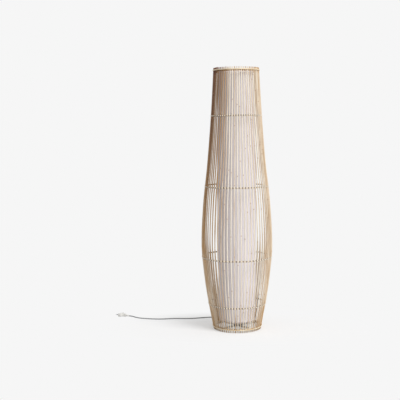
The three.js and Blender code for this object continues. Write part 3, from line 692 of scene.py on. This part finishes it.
def makePlug(s):
    top = s["thickness"] / 2
    place = shift(*s["place"], top) @ turnBy(radians(s["heading"]), "Z")
    shoulder = s["length"] * (1 - s["shoulderShare"])
    half, neck = s["width"] / 2, s["neckWidth"] / 2
    side = bendPoints((0, neck), (shoulder, neck), (shoulder, half), 8) + [(s["length"], half)]
    bm = bmesh.new()
    bm.faces.new([bm.verts.new((x, y, top)) for x, y in side + [(x, -y) for x, y in reversed(side)]])
    faceOut(bm)
    extrudeBy(bm, (0, 0, -s["thickness"]))
    faceOut(bm)
    for height in (top, -top):
        softenEdges(bm, s["edge"], height)
    for index in range(s["ribs"]):
        x = shoulder + (index - 0.5) * (s["length"] - shoulder) / s["ribs"] * s["ribSpread"]
        lie = shift(x, 0, top) @ Matrix.Diagonal((*s["ribSize"], 1))
        rib = bmesh.ops.create_cube(bm, size=1, matrix=lie)
        bevel(bm, edgesOf(rib["verts"]), s["ribEdge"])
    sleeve = turnSleeve([(0, 0)] + sleeveProfile(s["reliefRadius"], 0, s["reliefLength"], s["grooves"]))
    back = shift(-s["gap"], 0, 0) @ turnBy(-pi / 2, "Y")
    return [
        replaceNode("plug_body", moved(bm, place), "white_plastic"),
        replaceNode("plug_relief", moved(sleeve, place @ back), "white_plastic"),
        makePlugPin(s, place, 1),
        makePlugPin(s, place, 2),
    ]


def makePlugPin(s, place, number):
    radius, length, sleeve = s["pinRadius"], s["pinLength"], s["sleeveLength"]
    bare = radius - s["sleeveThickness"]
    bm = turned([(0, 0), (radius, 0), (radius, sleeve), (bare, sleeve + s["sleeveSlope"]),
                 (bare, length - s["pinTaper"]), (radius / 2, length), (0, length)], soft=s["pinEdge"],
                steps=24)
    for face in bm.faces:
        face.material_index = 1 if face.calc_center_median().z < sleeve else 0
    ahead = shift(s["length"] + s["gap"], (number - 1.5) * s["pinSpacing"], 0)
    moved(bm, place @ ahead @ turnBy(pi / 2, "Y"))
    return replaceNode(f"plug_pin_{number}", bm, "zinc_steel", insulatedMetal)


def makeCords(s):
    coiled = coilPoints(s)
    coilLeave = [(coiled[-1][0], coiled[-1][1] - s["radius"], coiled[-1][2])]
    lampCord = makeCord("lampCord", s["lampRoute"], s, ["cord_to_switch"])
    plugCord = makeCord("plugCord", s["coilRoute"] + coiled + coilLeave + s["plugRoute"], s,
                        ["cord_to_coil", "cord_coil", "cord_to_plug"])
    makeSwitch(switchSettings)
    makePlug(plugSettings)


makeCords(cordSettings)
print("cords laid, with their switch and plug")


# Cage: the line that every cane follows, and the canes
cageSettings = {
    "height": 1.2,
    "footRadius": 0.111,  # over the outsides of the canes, as the other two
    "bellyRadius": 0.1635,
    "topRadius": 0.1035,
    "heightShares": [0, 0.19, 0.33, 0.47, 0.64, 0.82, 1],
    "swellShares": [0, 0.735, 1, 0.87, 0.51, 0.215, 0],
    "caneCount": 64,
    "caneRadius": 0.00225,
    "caneSides": 10,
    "ringStep": 0.03,
    "thicknessSpread": (0.98, 1.11),
    "tipSpread": 0.0012,
    "sawnEdge": 0.0004,
    "knotStep": (0.2, 0.4),
    "lowestKnot": 0.04,
    "highestKnot": 0.03,  # below the tip
    "knotWidth": 0.0026,
    "knotSwell": 0.07,
    "fixedHeights": [0.013, 0.117, 0.336, 0.663, 0.984, 1.191],  # hoops and rows, where no cane strays
    "sideStray": 0.0013,
    "depthStray": 0.0005,
    "toneSpread": (-0.3, 0.3),
    "paintedShadeLeft": (0.48, 2.2),  # painted shade: how much browner the canes are painted at -X, at the foot and at the rim
    "paintedShadeRight": (0.65, 0.55),
    "sideFade": 1.5,  # how fast the painted shade falls off towards the front and the back
    "paintedShadeFoot": 0.45,  # painted shade near the floor, all round, fading out at the height below
    "paintedShadeFootTop": 0.15,
    "brownerTips": 0.6,  # at the sawn ends above the rim
    "stainedCane": 7,
    "stainedBelow": 0.121,
    "stainTone": 2,
    "patternStep": (0.013, 0.71),  # from cane to cane, so that no two share a pattern
    "seed": 7,
}


# A smooth line through stations that never swings past them
def smoothLine(stations):
    spans = [(b[1] - a[1]) / (b[0] - a[0]) for a, b in zip(stations, stations[1:])]
    slopes = [spans[0]]
    for below, above in zip(spans, spans[1:]):
        slopes.append(0 if below * above <= 0 else 2 * below * above / (below + above))
    slopes.append(spans[-1])

    def at(place):
        index = max(i for i, station in enumerate(stations[:-1]) if i == 0 or station[0] <= place)
        low, high = stations[index], stations[index + 1]
        span = high[0] - low[0]
        t = (place - low[0]) / span
        rise = 3 * t ** 2 - 2 * t ** 3
        leave, arrive = t * (1 - t) ** 2, t ** 2 * (t - 1)
        return (low[1] * (1 - rise) + high[1] * rise
                + span * (slopes[index] * leave + slopes[index + 1] * arrive))
    return at


def caneStations(s):
    belly = s["swellShares"].index(1)
    stations = []
    for index, (share, swell) in enumerate(zip(s["heightShares"], s["swellShares"])):
        end = s["footRadius"] if index < belly else s["topRadius"]
        outside = end + swell * (s["bellyRadius"] - end)
        stations.append((share * s["height"], outside - s["caneRadius"]))
    return stations


caneLine = smoothLine(caneStations(cageSettings))


def stray(height, fixed, amounts):
    for low, high, amount in zip(fixed, fixed[1:], amounts):
        if low <= height <= high:
            return amount * sin(pi * (height - low) / (high - low))
    return 0


def ringHeights(s, tip, knots):
    wanted = [knot + aside for knot in knots for aside in (-s["knotWidth"], 0, s["knotWidth"])]
    kept = wanted[:]
    for index in range(1, round(tip / s["ringStep"])):
        height = index * s["ringStep"]
        if all(abs(height - other) > 2 * s["knotWidth"] for other in wanted):
            kept.append(height)
    return kept


def makeCane(s, index, draw, marks):
    radius = s["caneRadius"] * draw.uniform(*s["thicknessSpread"])
    tip = s["height"] - draw.uniform(0, s["tipSpread"])
    rod = bmesh.new()
    addRod(rod, radius, tip, shift(0, 0, tip / 2), s["caneSides"])
    rims = [edge for edge in rod.edges if abs(edge.verts[0].co.z - edge.verts[1].co.z) < tiny]
    bevel(rod, rims, s["sawnEdge"], 1)
    knots = []
    height = draw.uniform(s["lowestKnot"], s["knotStep"][1])
    while height < tip - s["highestKnot"]:
        knots.append(height)
        height += draw.uniform(*s["knotStep"])
    for height in ringHeights(s, tip, knots):
        bmesh.ops.bisect_plane(rod, geom=rod.verts[:] + rod.edges[:] + rod.faces[:], dist=tiny,
                               plane_co=(0, 0, height), plane_no=(0, 0, 1))
    fixed = s["fixedHeights"]
    sideways = [draw.uniform(-s["sideStray"], s["sideStray"]) for _ in fixed[1:]]
    inward = [draw.uniform(-s["depthStray"], s["depthStray"]) for _ in fixed[1:]]
    angle = (index + 0.5) * fullTurn / s["caneCount"]
    tone = draw.uniform(*s["toneSpread"])
    # Painted shade: the canes at both sides are painted browner, most at -X, away from the sun
    sideShades = s["paintedShadeLeft"] if cos(angle) < 0 else s["paintedShadeRight"]
    atFoot, atRim = [browner * abs(cos(angle)) ** s["sideFade"] for browner in sideShades]
    turn = turnBy(angle, "Z")
    for vertex in rod.verts:
        x, y, z = vertex.co
        near = max([0] + [1 - abs(z - knot) / s["knotWidth"] for knot in knots])
        swell = 1 + s["knotSwell"] * near
        vertex.co = turn @ Vector((caneLine(z) + x * swell + stray(z, fixed, inward),
                                   y * swell + stray(z, fixed, sideways), z))
        # browner holds the painted shade, and below it the sawn tips' own darker colour
        browner = atFoot + (atRim - atFoot) * z / s["height"]
        # Painted shade near the floor, on top of the painted shade at the sides
        browner += s["paintedShadeFoot"] * max(0, 1 - z / s["paintedShadeFootTop"])
        if z > tip - 2 * s["sawnEdge"]:
            browner += s["brownerTips"]
        isStained = index == s["stainedCane"] and z < s["stainedBelow"]
        # Random tone, stain and painted shade, in one attribute
        marks["caneTone"].append(s["stainTone"] if isStained else tone + browner)
        marks["caneSpace"] += [x + index * s["patternStep"][0], y, z + index * s["patternStep"][1]]
        marks["caneKnot"].append(near)
    return rod


def addAttribute(piece, name, values, kind="FLOAT", field="value"):
    piece.data.attributes.new(name, kind, "POINT").data.foreach_set(field, values)


def makeCanes(s):
    draw = random.Random(s["seed"])
    cage = bmesh.new()
    marks = {"caneSpace": [], "caneTone": [], "caneKnot": []}
    for index in range(s["caneCount"]):
        rod = makeCane(s, index, draw, marks)
        part = bpy.data.meshes.new("caneDraft")
        rod.to_mesh(part)
        rod.free()
        cage.from_mesh(part)
        bpy.data.meshes.remove(part)
    piece = finishPiece("canes", cage, "rattan_cane", [cane], ["cane_cage"], softAngle=50)
    addAttribute(piece, "caneSpace", marks["caneSpace"], "FLOAT_VECTOR", "vector")
    addAttribute(piece, "caneTone", marks["caneTone"])
    addAttribute(piece, "caneKnot", marks["caneKnot"])


# Hoops: bands of split cane inside and outside the cane ends, nailed through
hoopSettings = {
    "footHeight": 0.013,
    "topHeight": 1.1887,
    "bandHeight": 0.0047,
    "outerThickness": 0.002,
    "innerThickness": 0.004,
    "innerDrop": 0.0056,  # by which the inner band at the rim hangs below the outer one
    "clear": 0.00255,  # from the canes' middle line to a band's near face
    "coreNear": -0.00155,  # the core hoop's near face, which bites into the canes
    "round": 0.0007,
    "nailRadius": 0.0008,
    "nailStep": 2,  # a nail in every second cane
    "firstNail": 0.25,  # of a step, on a cane
    "nailFlatness": 0.4,
    "sides": 128,
}


def hoopBand(height, near, far, s, drop=0):
    low, high = height - s["bandHeight"] / 2 - drop, height + s["bandHeight"] / 2
    corners = (far, low), (far, high), (near, high), (near, low)
    profile = [(caneLine(z) + reach, z) for reach, z in corners]
    return turned(profile, isRing=True, soft=s["round"], steps=s["sides"])


def makeNails(name, height, far, s):
    bm = bmesh.new()
    count = cageSettings["caneCount"] // s["nailStep"]
    head = shift(caneLine(height) + far, 0, height)
    head @= Matrix.Diagonal((s["nailFlatness"], 1, 1, 1))
    for index in range(count):
        turn = turnBy((index + s["firstNail"]) * fullTurn / count, "Z")
        bmesh.ops.create_uvsphere(bm, u_segments=8, v_segments=5, radius=s["nailRadius"],
                                  matrix=turn @ head)
    finishPiece(name, bm, "zinc_steel")


def makeHoops(s):
    clear, core, inside = s["clear"], s["coreNear"], s["innerThickness"]
    outer = clear + s["outerThickness"]
    foot, top = s["footHeight"], s["topHeight"]
    # The inner bands are painted darker, as painted shade under the outer bands
    innerBand = hoopBand(top, -clear - inside, -clear, s, s["innerDrop"])
    replaceNode("foot_outer_hoop", hoopBand(foot, clear, outer, s), "rattan_peel", [peel])
    finishPiece("footCoreHoop", hoopBand(foot, core - inside, core, s), "rattan_cane", [paintedShadePeel])
    replaceNode("top_outer_hoop", hoopBand(top, clear, outer, s), "rattan_peel", [peel])
    replaceNode("top_inner_hoop", innerBand, "rattan_peel", [paintedShadePeel])
    makeNails("footNails", foot, outer, s)
    makeNails("topNails", top, outer, s)


# Twined rows: two flat strands that turn half round each other in every gap
rowSettings = {
    "rows": {"foot": 0.117, "belly": 0.336, "waist": 0.663, "top": 0.984},
    "strands": {"a": 0, "b": pi},
    "thickness": 0.0012,
    "height": 0.0034,
    "gap": 0.0003,
    "reach": 0.0036,  # of a strand's middle off the canes' middle line, where it passes a cane
    "stepsPerCane": 8,
    "sides": 8,
    "paintedShadeFrom": 0.84,  # how far into a gap the painted shade on the strand starts, and where it is deepest
    "darkTo": 0.96,
    "lashedRow": "foot",  # its ends are tied to a cane at the back
    "lashedCane": 7,
    "lashingTurns": 4,
    "lashingWidth": 0.0016,
    "lashingReach": 0.0046,
    "lashingSides": 24,
}


def makeStrand(row, height, strand, ahead, s):
    bm = bmesh.new()
    base = caneLine(height)
    size = Matrix.Diagonal((s["thickness"] / 2, 1, s["height"] / 2, 1))
    place = shift(base, 0, height) @ size @ turnBy(pi / 2, "X")
    bmesh.ops.create_circle(bm, radius=1, segments=s["sides"], matrix=place)
    spinRound(bm, cageSettings["caneCount"] * s["stepsPerCane"])
    climb = (s["height"] + s["gap"]) / 2
    inGap = []
    for vertex in bm.verts:
        x, y, z = vertex.co
        angle, outward = atan2(y, x), hypot(x, y) - base
        twist = angle * cageSettings["caneCount"] / 2 + ahead
        middle = height + climb * cos(twist)
        radius = caneLine(middle) + s["reach"] * sin(twist) + outward
        vertex.co = (radius * cos(angle), radius * sin(angle), middle + z - height)
        # A mask of painted shade, deepest where the strand dips into a gap
        gapShadeDepth = (abs(cos(twist)) - s["paintedShadeFrom"]) / (s["darkTo"] - s["paintedShadeFrom"])
        inGap.append(max(0, min(1, gapShadeDepth)))
    piece = replaceNode(f"{row}_row_strand_{strand}", bm, "rattan_peel", [twine], softAngle=60)
    addAttribute(piece, "inGap", inGap)


def makeLashing(s):
    bm = bmesh.new()
    height, wire = s["rows"][s["lashedRow"]], s["lashingWidth"] / 2
    for index in range(s["lashingTurns"]):
        aside = (index - (s["lashingTurns"] - 1) / 2) * s["lashingWidth"]
        wireRing(bm, s["lashingReach"], aside, wire, s["lashingSides"])
    faceOut(bm)
    angle = (s["lashedCane"] + 0.5) * fullTurn / cageSettings["caneCount"]
    moved(bm, turnBy(angle, "Z") @ shift(caneLine(height), 0, height))
    finishPiece("footRowLashing", bm, "rattan_peel", [lashing])


def makeRows(s):
    for row, height in s["rows"].items():
        for strand, ahead in s["strands"].items():
            makeStrand(row, height, strand, ahead, s)
    makeLashing(s)


# Steel foot frame, and the peel that lashes it to the core hoop
footSettings = {
    "ringThickness": 0.0025,
    "ringRound": 0.0006,
    "ringSides": 16,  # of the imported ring, whose box is measured over its corners
    "wraps": 3,
    "wrapWidth": 0.00092,
    "wrapGap": 0.12,  # between two turns, as a share of their width
    "wrapThickness": 0.0009,
    "wrapCorner": 0.0012,
    "wrapEdge": 0.0002,
    "bindingWidth": 0.003,
    "bindingTurn": 22.5,  # degrees from +X to the first
    "bindingCount": 4,
}


def makeFootFrame(s):
    low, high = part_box("foot_frame_ring")
    outer = high[0] * cos(pi / s["ringSides"])
    ring = tube(outer, outer - s["ringThickness"], low[2], high[2], s["ringRound"], 128)
    replaceNode("foot_frame_ring", ring, "white_steel")


# Turns of peel side by side, round the ring and the core hoop. All are built as the first
def makeBinding(index, s):
    turn = radians(s["bindingTurn"])
    low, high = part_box("foot_binding_1")
    halfWidth = s["wrapWidth"] * (s["wraps"] / 2 + (s["wraps"] - 1) * s["wrapGap"] / 2)
    aside = s["bindingWidth"] / 2 * sin(turn)
    near, far = [reach / cos(turn) for reach in (low[0] + aside, high[0] - aside)]
    middle = shift((near + far) / 2, -halfWidth, (low[2] + high[2]) / 2)
    place = middle @ turnBy(pi / 2, "X")
    thickness = s["wrapThickness"]
    width, height = far - near, high[2] - low[2]
    bm = bmesh.new()
    addPlate(bm, place, width, height, s["wrapCorner"], 4)
    addPlate(bm, place, width - 2 * thickness, height - 2 * thickness, s["wrapCorner"] / 3, 4)
    joinPlates(bm)
    extrudeBy(bm, (0, s["wrapWidth"], 0))
    bevelSharp(bm, bm.edges, s["wrapEdge"], 1)
    oneWrap = bm.verts[:] + bm.edges[:] + bm.faces[:]
    for wrap in range(1, s["wraps"]):
        more = bmesh.ops.duplicate(bm, geom=oneWrap)["geom"]
        beside = (0, wrap * s["wrapWidth"] * (1 + s["wrapGap"]), 0)
        bmesh.ops.translate(bm, vec=beside, verts=cornersOf(more))
    faceOut(bm)
    moved(bm, turnBy(turn + index * fullTurn / s["bindingCount"], "Z"))
    replaceNode(f"foot_binding_{index + 1}", bm, "rattan_peel", [peel])


# Stem and what is turned on it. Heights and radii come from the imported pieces
stemSettings = {
    "radius": 0.005,
    "wall": 0.0015,
    "washerRadius": 0.011,
    "washerBore": 0.0053,
    "washerEdge": 0.0002,
    "reliefStub": 0.0026,
    "reliefSeat": 0.0053,
    "reliefRoot": 0.0044,
    "grooves": {"count": 4, "first": 0.125, "pitch": 1 / 4.8, "width": 0.45 / 4.8, "depth": 0.0006,
                "bank": 0.15},
}


def nodeSize(node):
    low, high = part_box(node)
    return low[2], high[2], (high[0] - low[0]) / 2


def makeStem(s):
    low, high, _ = nodeSize("stem")
    stem = tube(s["radius"], s["radius"] - s["wall"], low, high, steps=32)
    finishPiece("stemTube", stem, "white_steel", nodes=["stem"])
    low, high, _ = nodeSize("stem_washer")
    washer = tube(s["washerRadius"], s["washerBore"], low, high, s["washerEdge"], 32)
    replaceNode("stem_washer", washer, "zinc_steel")
    low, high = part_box("stem_strain_relief")
    stub, seat = s["reliefStub"], s["reliefSeat"]
    relief = turnSleeve([(0, 0), (stub, 0), (stub, seat)]
                        + sleeveProfile(s["reliefRoot"], seat, high[1], s["grooves"]))
    place = shift(0, 0, (low[2] + high[2]) / 2) @ turnBy(-pi / 2, "X")
    replaceNode("stem_strain_relief", moved(relief, place), "cord_grey")


# Lamp holder, and the ring that is screwed on it over the shade's carrier
holderSettings = {
    "radius": 0.020,
    "wall": 0.002,
    "footRadius": 0.013,
    "shoulder": 0.008,
    "stemHole": 0.0053,
    "capEdge": 0.0006,
    "collarHeight": 0.014,
    "flangeReach": 0.0025,
    "flangeHeight": 0.002,
    "threadRadius": 0.019,
    "threadDepth": 0.0007,
    "threadPitch": 0.0026,
    "threadEnd": 0.001,  # below the shell's rim
    "shellEdge": 0.0002,
    "bore": 0.0156,
    "sleeveRadius": 0.0153,
    "sleeveWall": 0.0012,
    "sleeveGroove": 0.0005,
    "sleeveEdge": 0.0001,
    "ringBore": 0.0193,
    "ringSkirt": 0.0243,
    "ringWall": 0.0016,
    "ringNotch": 0.0006,
    "ringNotches": 24,
    "notchFrom": 0.6,  # of the way from one notch to the next
    "notchReach": 0.0008,  # in from the skirt's edge
}


def threadProfile(radius, depth, low, high, pitch):
    points = []
    for index in range(int((high - low) / pitch)):
        start = low + index * pitch
        points += [(radius - depth, start), (radius - depth, start + 0.3 * pitch),
                   (radius, start + 0.5 * pitch), (radius, start + 0.8 * pitch)]
    return points


def makeHolder(s):
    radius, foot, wall, hole = s["radius"], s["footRadius"], s["wall"], s["stemHole"]
    low, high, _ = nodeSize("holder_cap")
    shoulder, inside = low + s["shoulder"], radius - wall
    cap = [(hole, low), (foot, low), (radius, shoulder), (radius, high), (inside, high),
           (inside, shoulder + wall / 2), (foot - wall / 2, low + wall), (hole, low + wall)]
    replaceNode("holder_cap", turned(cap, isRing=True, soft=s["capEdge"]), "white_plastic")
    low, high, _ = nodeSize("holder_shell")
    collar, flange = low + s["collarHeight"], radius + s["flangeReach"]
    flangeTop = collar + s["flangeHeight"]
    shell = [(radius, low), (radius, collar), (flange, collar), (flange, flangeTop)]
    shell += threadProfile(s["threadRadius"], s["threadDepth"], flangeTop, high - s["threadEnd"],
                           s["threadPitch"])
    shell += [(s["threadRadius"] - s["threadDepth"], high), (s["bore"], high), (s["bore"], low)]
    replaceNode("holder_shell", turned(shell, isRing=True, soft=s["shellEdge"]), "white_plastic")
    low, high, _ = nodeSize("holder_screw_sleeve")
    outer, inner = s["sleeveRadius"], s["sleeveRadius"] - s["sleeveWall"]
    threads = threadProfile(inner, -s["sleeveGroove"], low, high, s["threadPitch"])
    sleeve = [(outer, low), (outer, high), (inner, high)] + threads[::-1]
    replaceNode("holder_screw_sleeve", turned(sleeve, isRing=True, soft=s["sleeveEdge"]), "brass")
    makeRetainingRing(s)


def makeRetainingRing(s):
    low, high, _ = nodeSize("shade_retaining_ring")
    bore, skirt, collar = s["ringBore"], s["ringSkirt"], s["ringBore"] + s["ringWall"]
    step = low + s["ringWall"]
    bm = turned([(bore, low), (skirt, low), (skirt, step), (collar, step), (collar, high), (bore, high)],
                isRing=True, steps=4 * s["ringNotches"])
    for vertex in bm.verts:
        reach = hypot(vertex.co.x, vertex.co.y)
        share = atan2(vertex.co.y, vertex.co.x) / fullTurn * s["ringNotches"]
        if reach > skirt - s["notchReach"] and share % 1 > s["notchFrom"]:
            vertex.co.xy *= 1 - s["ringNotch"] / reach
    replaceNode("shade_retaining_ring", bm, "white_plastic")


# Bulb: a screw cap with a dark insulator round its tip, and the globe
bulbSettings = {
    "tipRadius": 0.0045,
    "tipHeight": 0.0018,
    "capRadius": 0.0132,
    "threadDepth": 0.0009,
    "threadPitch": 0.0036,
    "threadStart": 0.001,  # above the insulator
    "threadEnd": 0.003,  # below the cap's top
    "beadHeight": 0.002,
    "insulatorFrom": 0.0004,
    "insulatorTo": 0.0002,
    "globeRadius": 0.030,
    "neckRadiusShare": 0.72,
    "neckHeightShare": 0.33,
    "arcSteps": 14,
}


def makeBulb(s):
    low, high, _ = nodeSize("bulb_cap")
    radius, tip = s["capRadius"], s["tipRadius"]
    rim = low + 2 * s["tipHeight"]
    cap = [(0, low), (tip, low), (tip, low + s["tipHeight"]), (radius - s["threadDepth"], rim)]
    cap += threadProfile(radius, s["threadDepth"], rim + s["threadStart"], high - s["threadEnd"],
                         s["threadPitch"])
    bm = turned(cap + [(radius, high - s["beadHeight"]), (radius, high), (0, high)])
    for face in bm.faces:
        middle = face.calc_center_median()
        isInsulator = (low + s["insulatorFrom"] < middle.z < rim - s["insulatorTo"]
                       and hypot(middle.x, middle.y) > tip)
        face.material_index = 1 if isInsulator else 0
    replaceNode("bulb_cap", bm, "zinc_steel", insulatedMetal, body="bulb")
    low, high, _ = nodeSize("bulb_globe")
    globe, steps = s["globeRadius"], s["arcSteps"]
    crown = high - low - globe
    control = (globe * s["neckRadiusShare"], low + crown * s["neckHeightShare"])
    profile = [(0, low)] + bendPoints((radius, low), control, (globe, low + crown), steps)
    for step in range(1, steps + 1):
        angle = step / steps * pi / 2
        profile.append((globe * cos(angle) if step < steps else 0, low + crown + globe * sin(angle)))
    replaceNode("bulb_globe", turned(profile, soft=0), "opal", body="bulb")


# Shade: a stiffened cloth tube with turned hems and a glued seam at the back
shadeSettings = {
    "midRadius": 0.090,
    "heightShares": [0, 0.26, 0.545, 0.825, 1],
    "radiusShares": [0.935, 0.98, 1, 0.935, 0.87],
    "wall": 0.0011,
    "hemHeight": 0.011,
    "hemEdge": 0.0006,
    "hemStep": 0.0002,
    "rings": 44,
    "steps": 144,
    "seamSteps": 1.4,
    "seamStep": 0.0005,
    "ripple": 0.0004,
    "waves": ((3, 5), (2, -9)),  # round the shade, and up it
    "cutWidth": 0.5655,
    "cutArea": 0.6235,
    "wireRadius": 0.0016,
    "wireGap": 0.0003,
}


def makeShade(s):
    low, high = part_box("shade_fabric")
    bottom, top, height = low[2], high[2], high[2] - low[2]
    radiusAt = smoothLine([(bottom + share * height, radius * s["midRadius"])
                           for share, radius in zip(s["heightShares"], s["radiusShares"])])
    hem, edge = s["hemHeight"], s["hemEdge"]
    heights = [bottom, bottom + hem, bottom + hem + edge, top - hem - edge, top - hem, top]
    heights += [bottom + height * (index + 1) / (s["rings"] + 1) for index in range(s["rings"])]
    bm = turned([(radiusAt(z), z) for z in sorted(heights)], soft=0, steps=s["steps"])
    for vertex in bm.verts:
        x, y, z = vertex.co
        angle = atan2(x, -y)
        onSeam = (pi - abs(angle)) / fullTurn * s["steps"] < s["seamSteps"]
        inHem = z < bottom + hem + edge / 2 or z > top - hem - edge / 2
        inward = 0 if inHem else s["hemStep"] - (s["seamStep"] if onSeam else 0)
        sway = prod(sin(around * angle + up * z) for around, up in s["waves"])
        reach = radiusAt(z) - inward - s["ripple"] * (0.5 + 0.5 * sway)
        vertex.co.xy *= reach / hypot(x, y)
    shade = finishPiece("shadeCloth", bm, "shade_fabric", [cloth], ["shade_fabric"])
    wall = shade.modifiers.new("wall", "SOLIDIFY")
    wall.thickness = s["wall"]
    wall.offset = -1
    for node in ("shade_top_wire", "shade_bottom_wire"):
        low, high, radius = nodeSize(node)
        bm = bmesh.new()
        wireRing(bm, radius - s["wireRadius"] - s["wireGap"], (low + high) / 2, s["wireRadius"])
        faceOut(bm)
        replaceNode(node, bm, "white_steel")


# The shade's carrier: a hub, arms welded on, and a rim that the cloth is glued to
carrierSettings = {
    "hubInner": 0.0193,
    "hubWidth": 0.007,
    "hubThickness": 0.002,
    "hubEdge": 0.0004,
    "arms": 3,
    "armBite": 0.001,  # into the hub
    "weldRadius": 0.0023,
}


def makeCarrier(s):
    low, high, radius = nodeSize("shade_carrier")
    middle, half = (low + high) / 2, s["hubThickness"] / 2
    wire = shadeSettings["wireRadius"]
    rim = radius - wire - shadeSettings["wireGap"]
    hubOuter = s["hubInner"] + s["hubWidth"]
    bm = tube(hubOuter, s["hubInner"], middle - half, middle + half, s["hubEdge"])
    wireRing(bm, rim, middle, wire)
    start = hubOuter - s["armBite"]
    for index in range(s["arms"]):
        turn = turnBy(index * fullTurn / s["arms"], "Z")
        lie = shift(0, (start + rim) / 2, middle) @ turnBy(pi / 2, "X")
        addRod(bm, wire, rim - start, turn @ lie)
        for reach in (start, rim):
            bmesh.ops.create_uvsphere(bm, u_segments=16, v_segments=8, radius=s["weldRadius"],
                                      matrix=turn @ shift(0, reach, middle))
    faceOut(bm)
    replaceNode("shade_carrier", bm, "white_steel")


makeCanes(cageSettings)
print("canes bent")
makeHoops(hoopSettings)
makeRows(rowSettings)
print("hoops and rows bound")
makeFootFrame(footSettings)
for index in range(footSettings["bindingCount"]):
    makeBinding(index, footSettings)
makeStem(stemSettings)
makeHolder(holderSettings)
makeBulb(bulbSettings)
print("stem, holder and bulb turned")
makeCarrier(carrierSettings)
makeShade(shadeSettings)
print("shade hung")

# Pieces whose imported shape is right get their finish
keptPieces = {
    "foot_frame_cross": "white_steel",
    "stem_lower_nut": "zinc_steel",
    "stem_upper_nut": "zinc_steel",
    "stem_lead": "cord_grey",
    "holder_locknut": "zinc_steel",
    "holder_insert": "ceramic",
    "holder_contact": "brass",
}
for node, finish in keptPieces.items():
    mesh = frame["nodes"][node].data
    mesh.materials.clear()
    mesh.materials.append(hard[finish])


# World, floor and sun
studioSettings = {
    "backdrop": 0.9216,
    "fill": 0.5,
    "floorColour": 0.57,
    "floorGlow": 0.3741,
    "floorRadius": 12,
    "floorDrop": 0.0004,  # below the lamp's lowest point
    "fadeFrom": 0.28,  # metres from the axis, where the shadow starts to fade and where it ends
    "fadeTo": 0.62,
    "fadeDepth": 2,  # how much nearer the shadow ends behind the lamp than beside it
    "sunStrength": 2.35,
    "sunAngle": 30,  # degrees, as the next two
    "sunHeight": 38,
    "sunTurn": 50,  # to the right of the camera's side
}


def cameraSees(tree):  # 1 for rays that show the backdrop, 0 for those that light the lamp
    rays = addNode(tree, "LightPath").outputs
    seen = doMath(tree, "MAXIMUM", rays["Is Camera Ray"], rays["Is Glossy Ray"])
    return doMath(tree, "MAXIMUM", seen, rays["Is Transmission Ray"])


def backdropLight(tree, s):
    return remap(tree, cameraSees(tree), 0, 1, s["fill"], s["backdrop"])


def makeWorld(s):
    world = bpy.data.worlds.new("studio")
    world.use_nodes = True
    background = world.node_tree.nodes["Background"].inputs
    background["Color"].default_value = white
    world.node_tree.links.new(backdropLight(world.node_tree, s), background["Strength"])
    scene.world = world


# Paper near the lamp, which takes its shadow, and the plain backdrop further out
def makeFloor(s):
    bm = bmesh.new()
    bmesh.ops.create_circle(bm, cap_ends=True, segments=64, radius=s["floorRadius"])
    mesh = bpy.data.meshes.new("floor")
    bm.to_mesh(mesh)
    bm.free()
    floor = addObject("floor", mesh)
    floor.location.z = -s["floorDrop"]
    material = bpy.data.materials.new("floor")
    material.use_nodes = True
    tree = material.node_tree
    tree.nodes.clear()
    paper = addNode(tree, "BsdfDiffuse", [s["floorColour"]] * 3 + [1]).outputs[0]
    glow = doMath(tree, "MULTIPLY", cameraSees(tree), s["floorGlow"])
    shine = addNode(tree, "Emission", white, glow).outputs[0]
    near = addNode(tree, "AddShader", paper, shine).outputs[0]
    far = addNode(tree, "Emission", white, backdropLight(tree, s)).outputs[0]
    place = stretch(tree, objectPlace(tree), 1, s["fadeDepth"], 1)
    distance = addNode(tree, "VectorMath", place, operation="LENGTH").outputs["Value"]
    fade = remap(tree, distance, s["fadeFrom"], s["fadeTo"], 0, 1)
    blend = addNode(tree, "MixShader", fade, near, far).outputs[0]
    addNode(tree, "OutputMaterial", blend)
    mesh.materials.append(material)


def makeSun(s):
    data = bpy.data.lights.new("key", "SUN")
    data.energy = s["sunStrength"]
    data.angle = radians(s["sunAngle"])
    turn, height = radians(s["sunTurn"]), radians(s["sunHeight"])
    towards = Vector((sin(turn) * cos(height), -cos(turn) * cos(height), sin(height)))
    addObject("key", data).rotation_euler = towards.to_track_quat("Z", "Y").to_euler()


makeWorld(studioSettings)
makeFloor(studioSettings)
makeSun(studioSettings)
scene.view_settings.view_transform = "Standard"
print("studio lit")
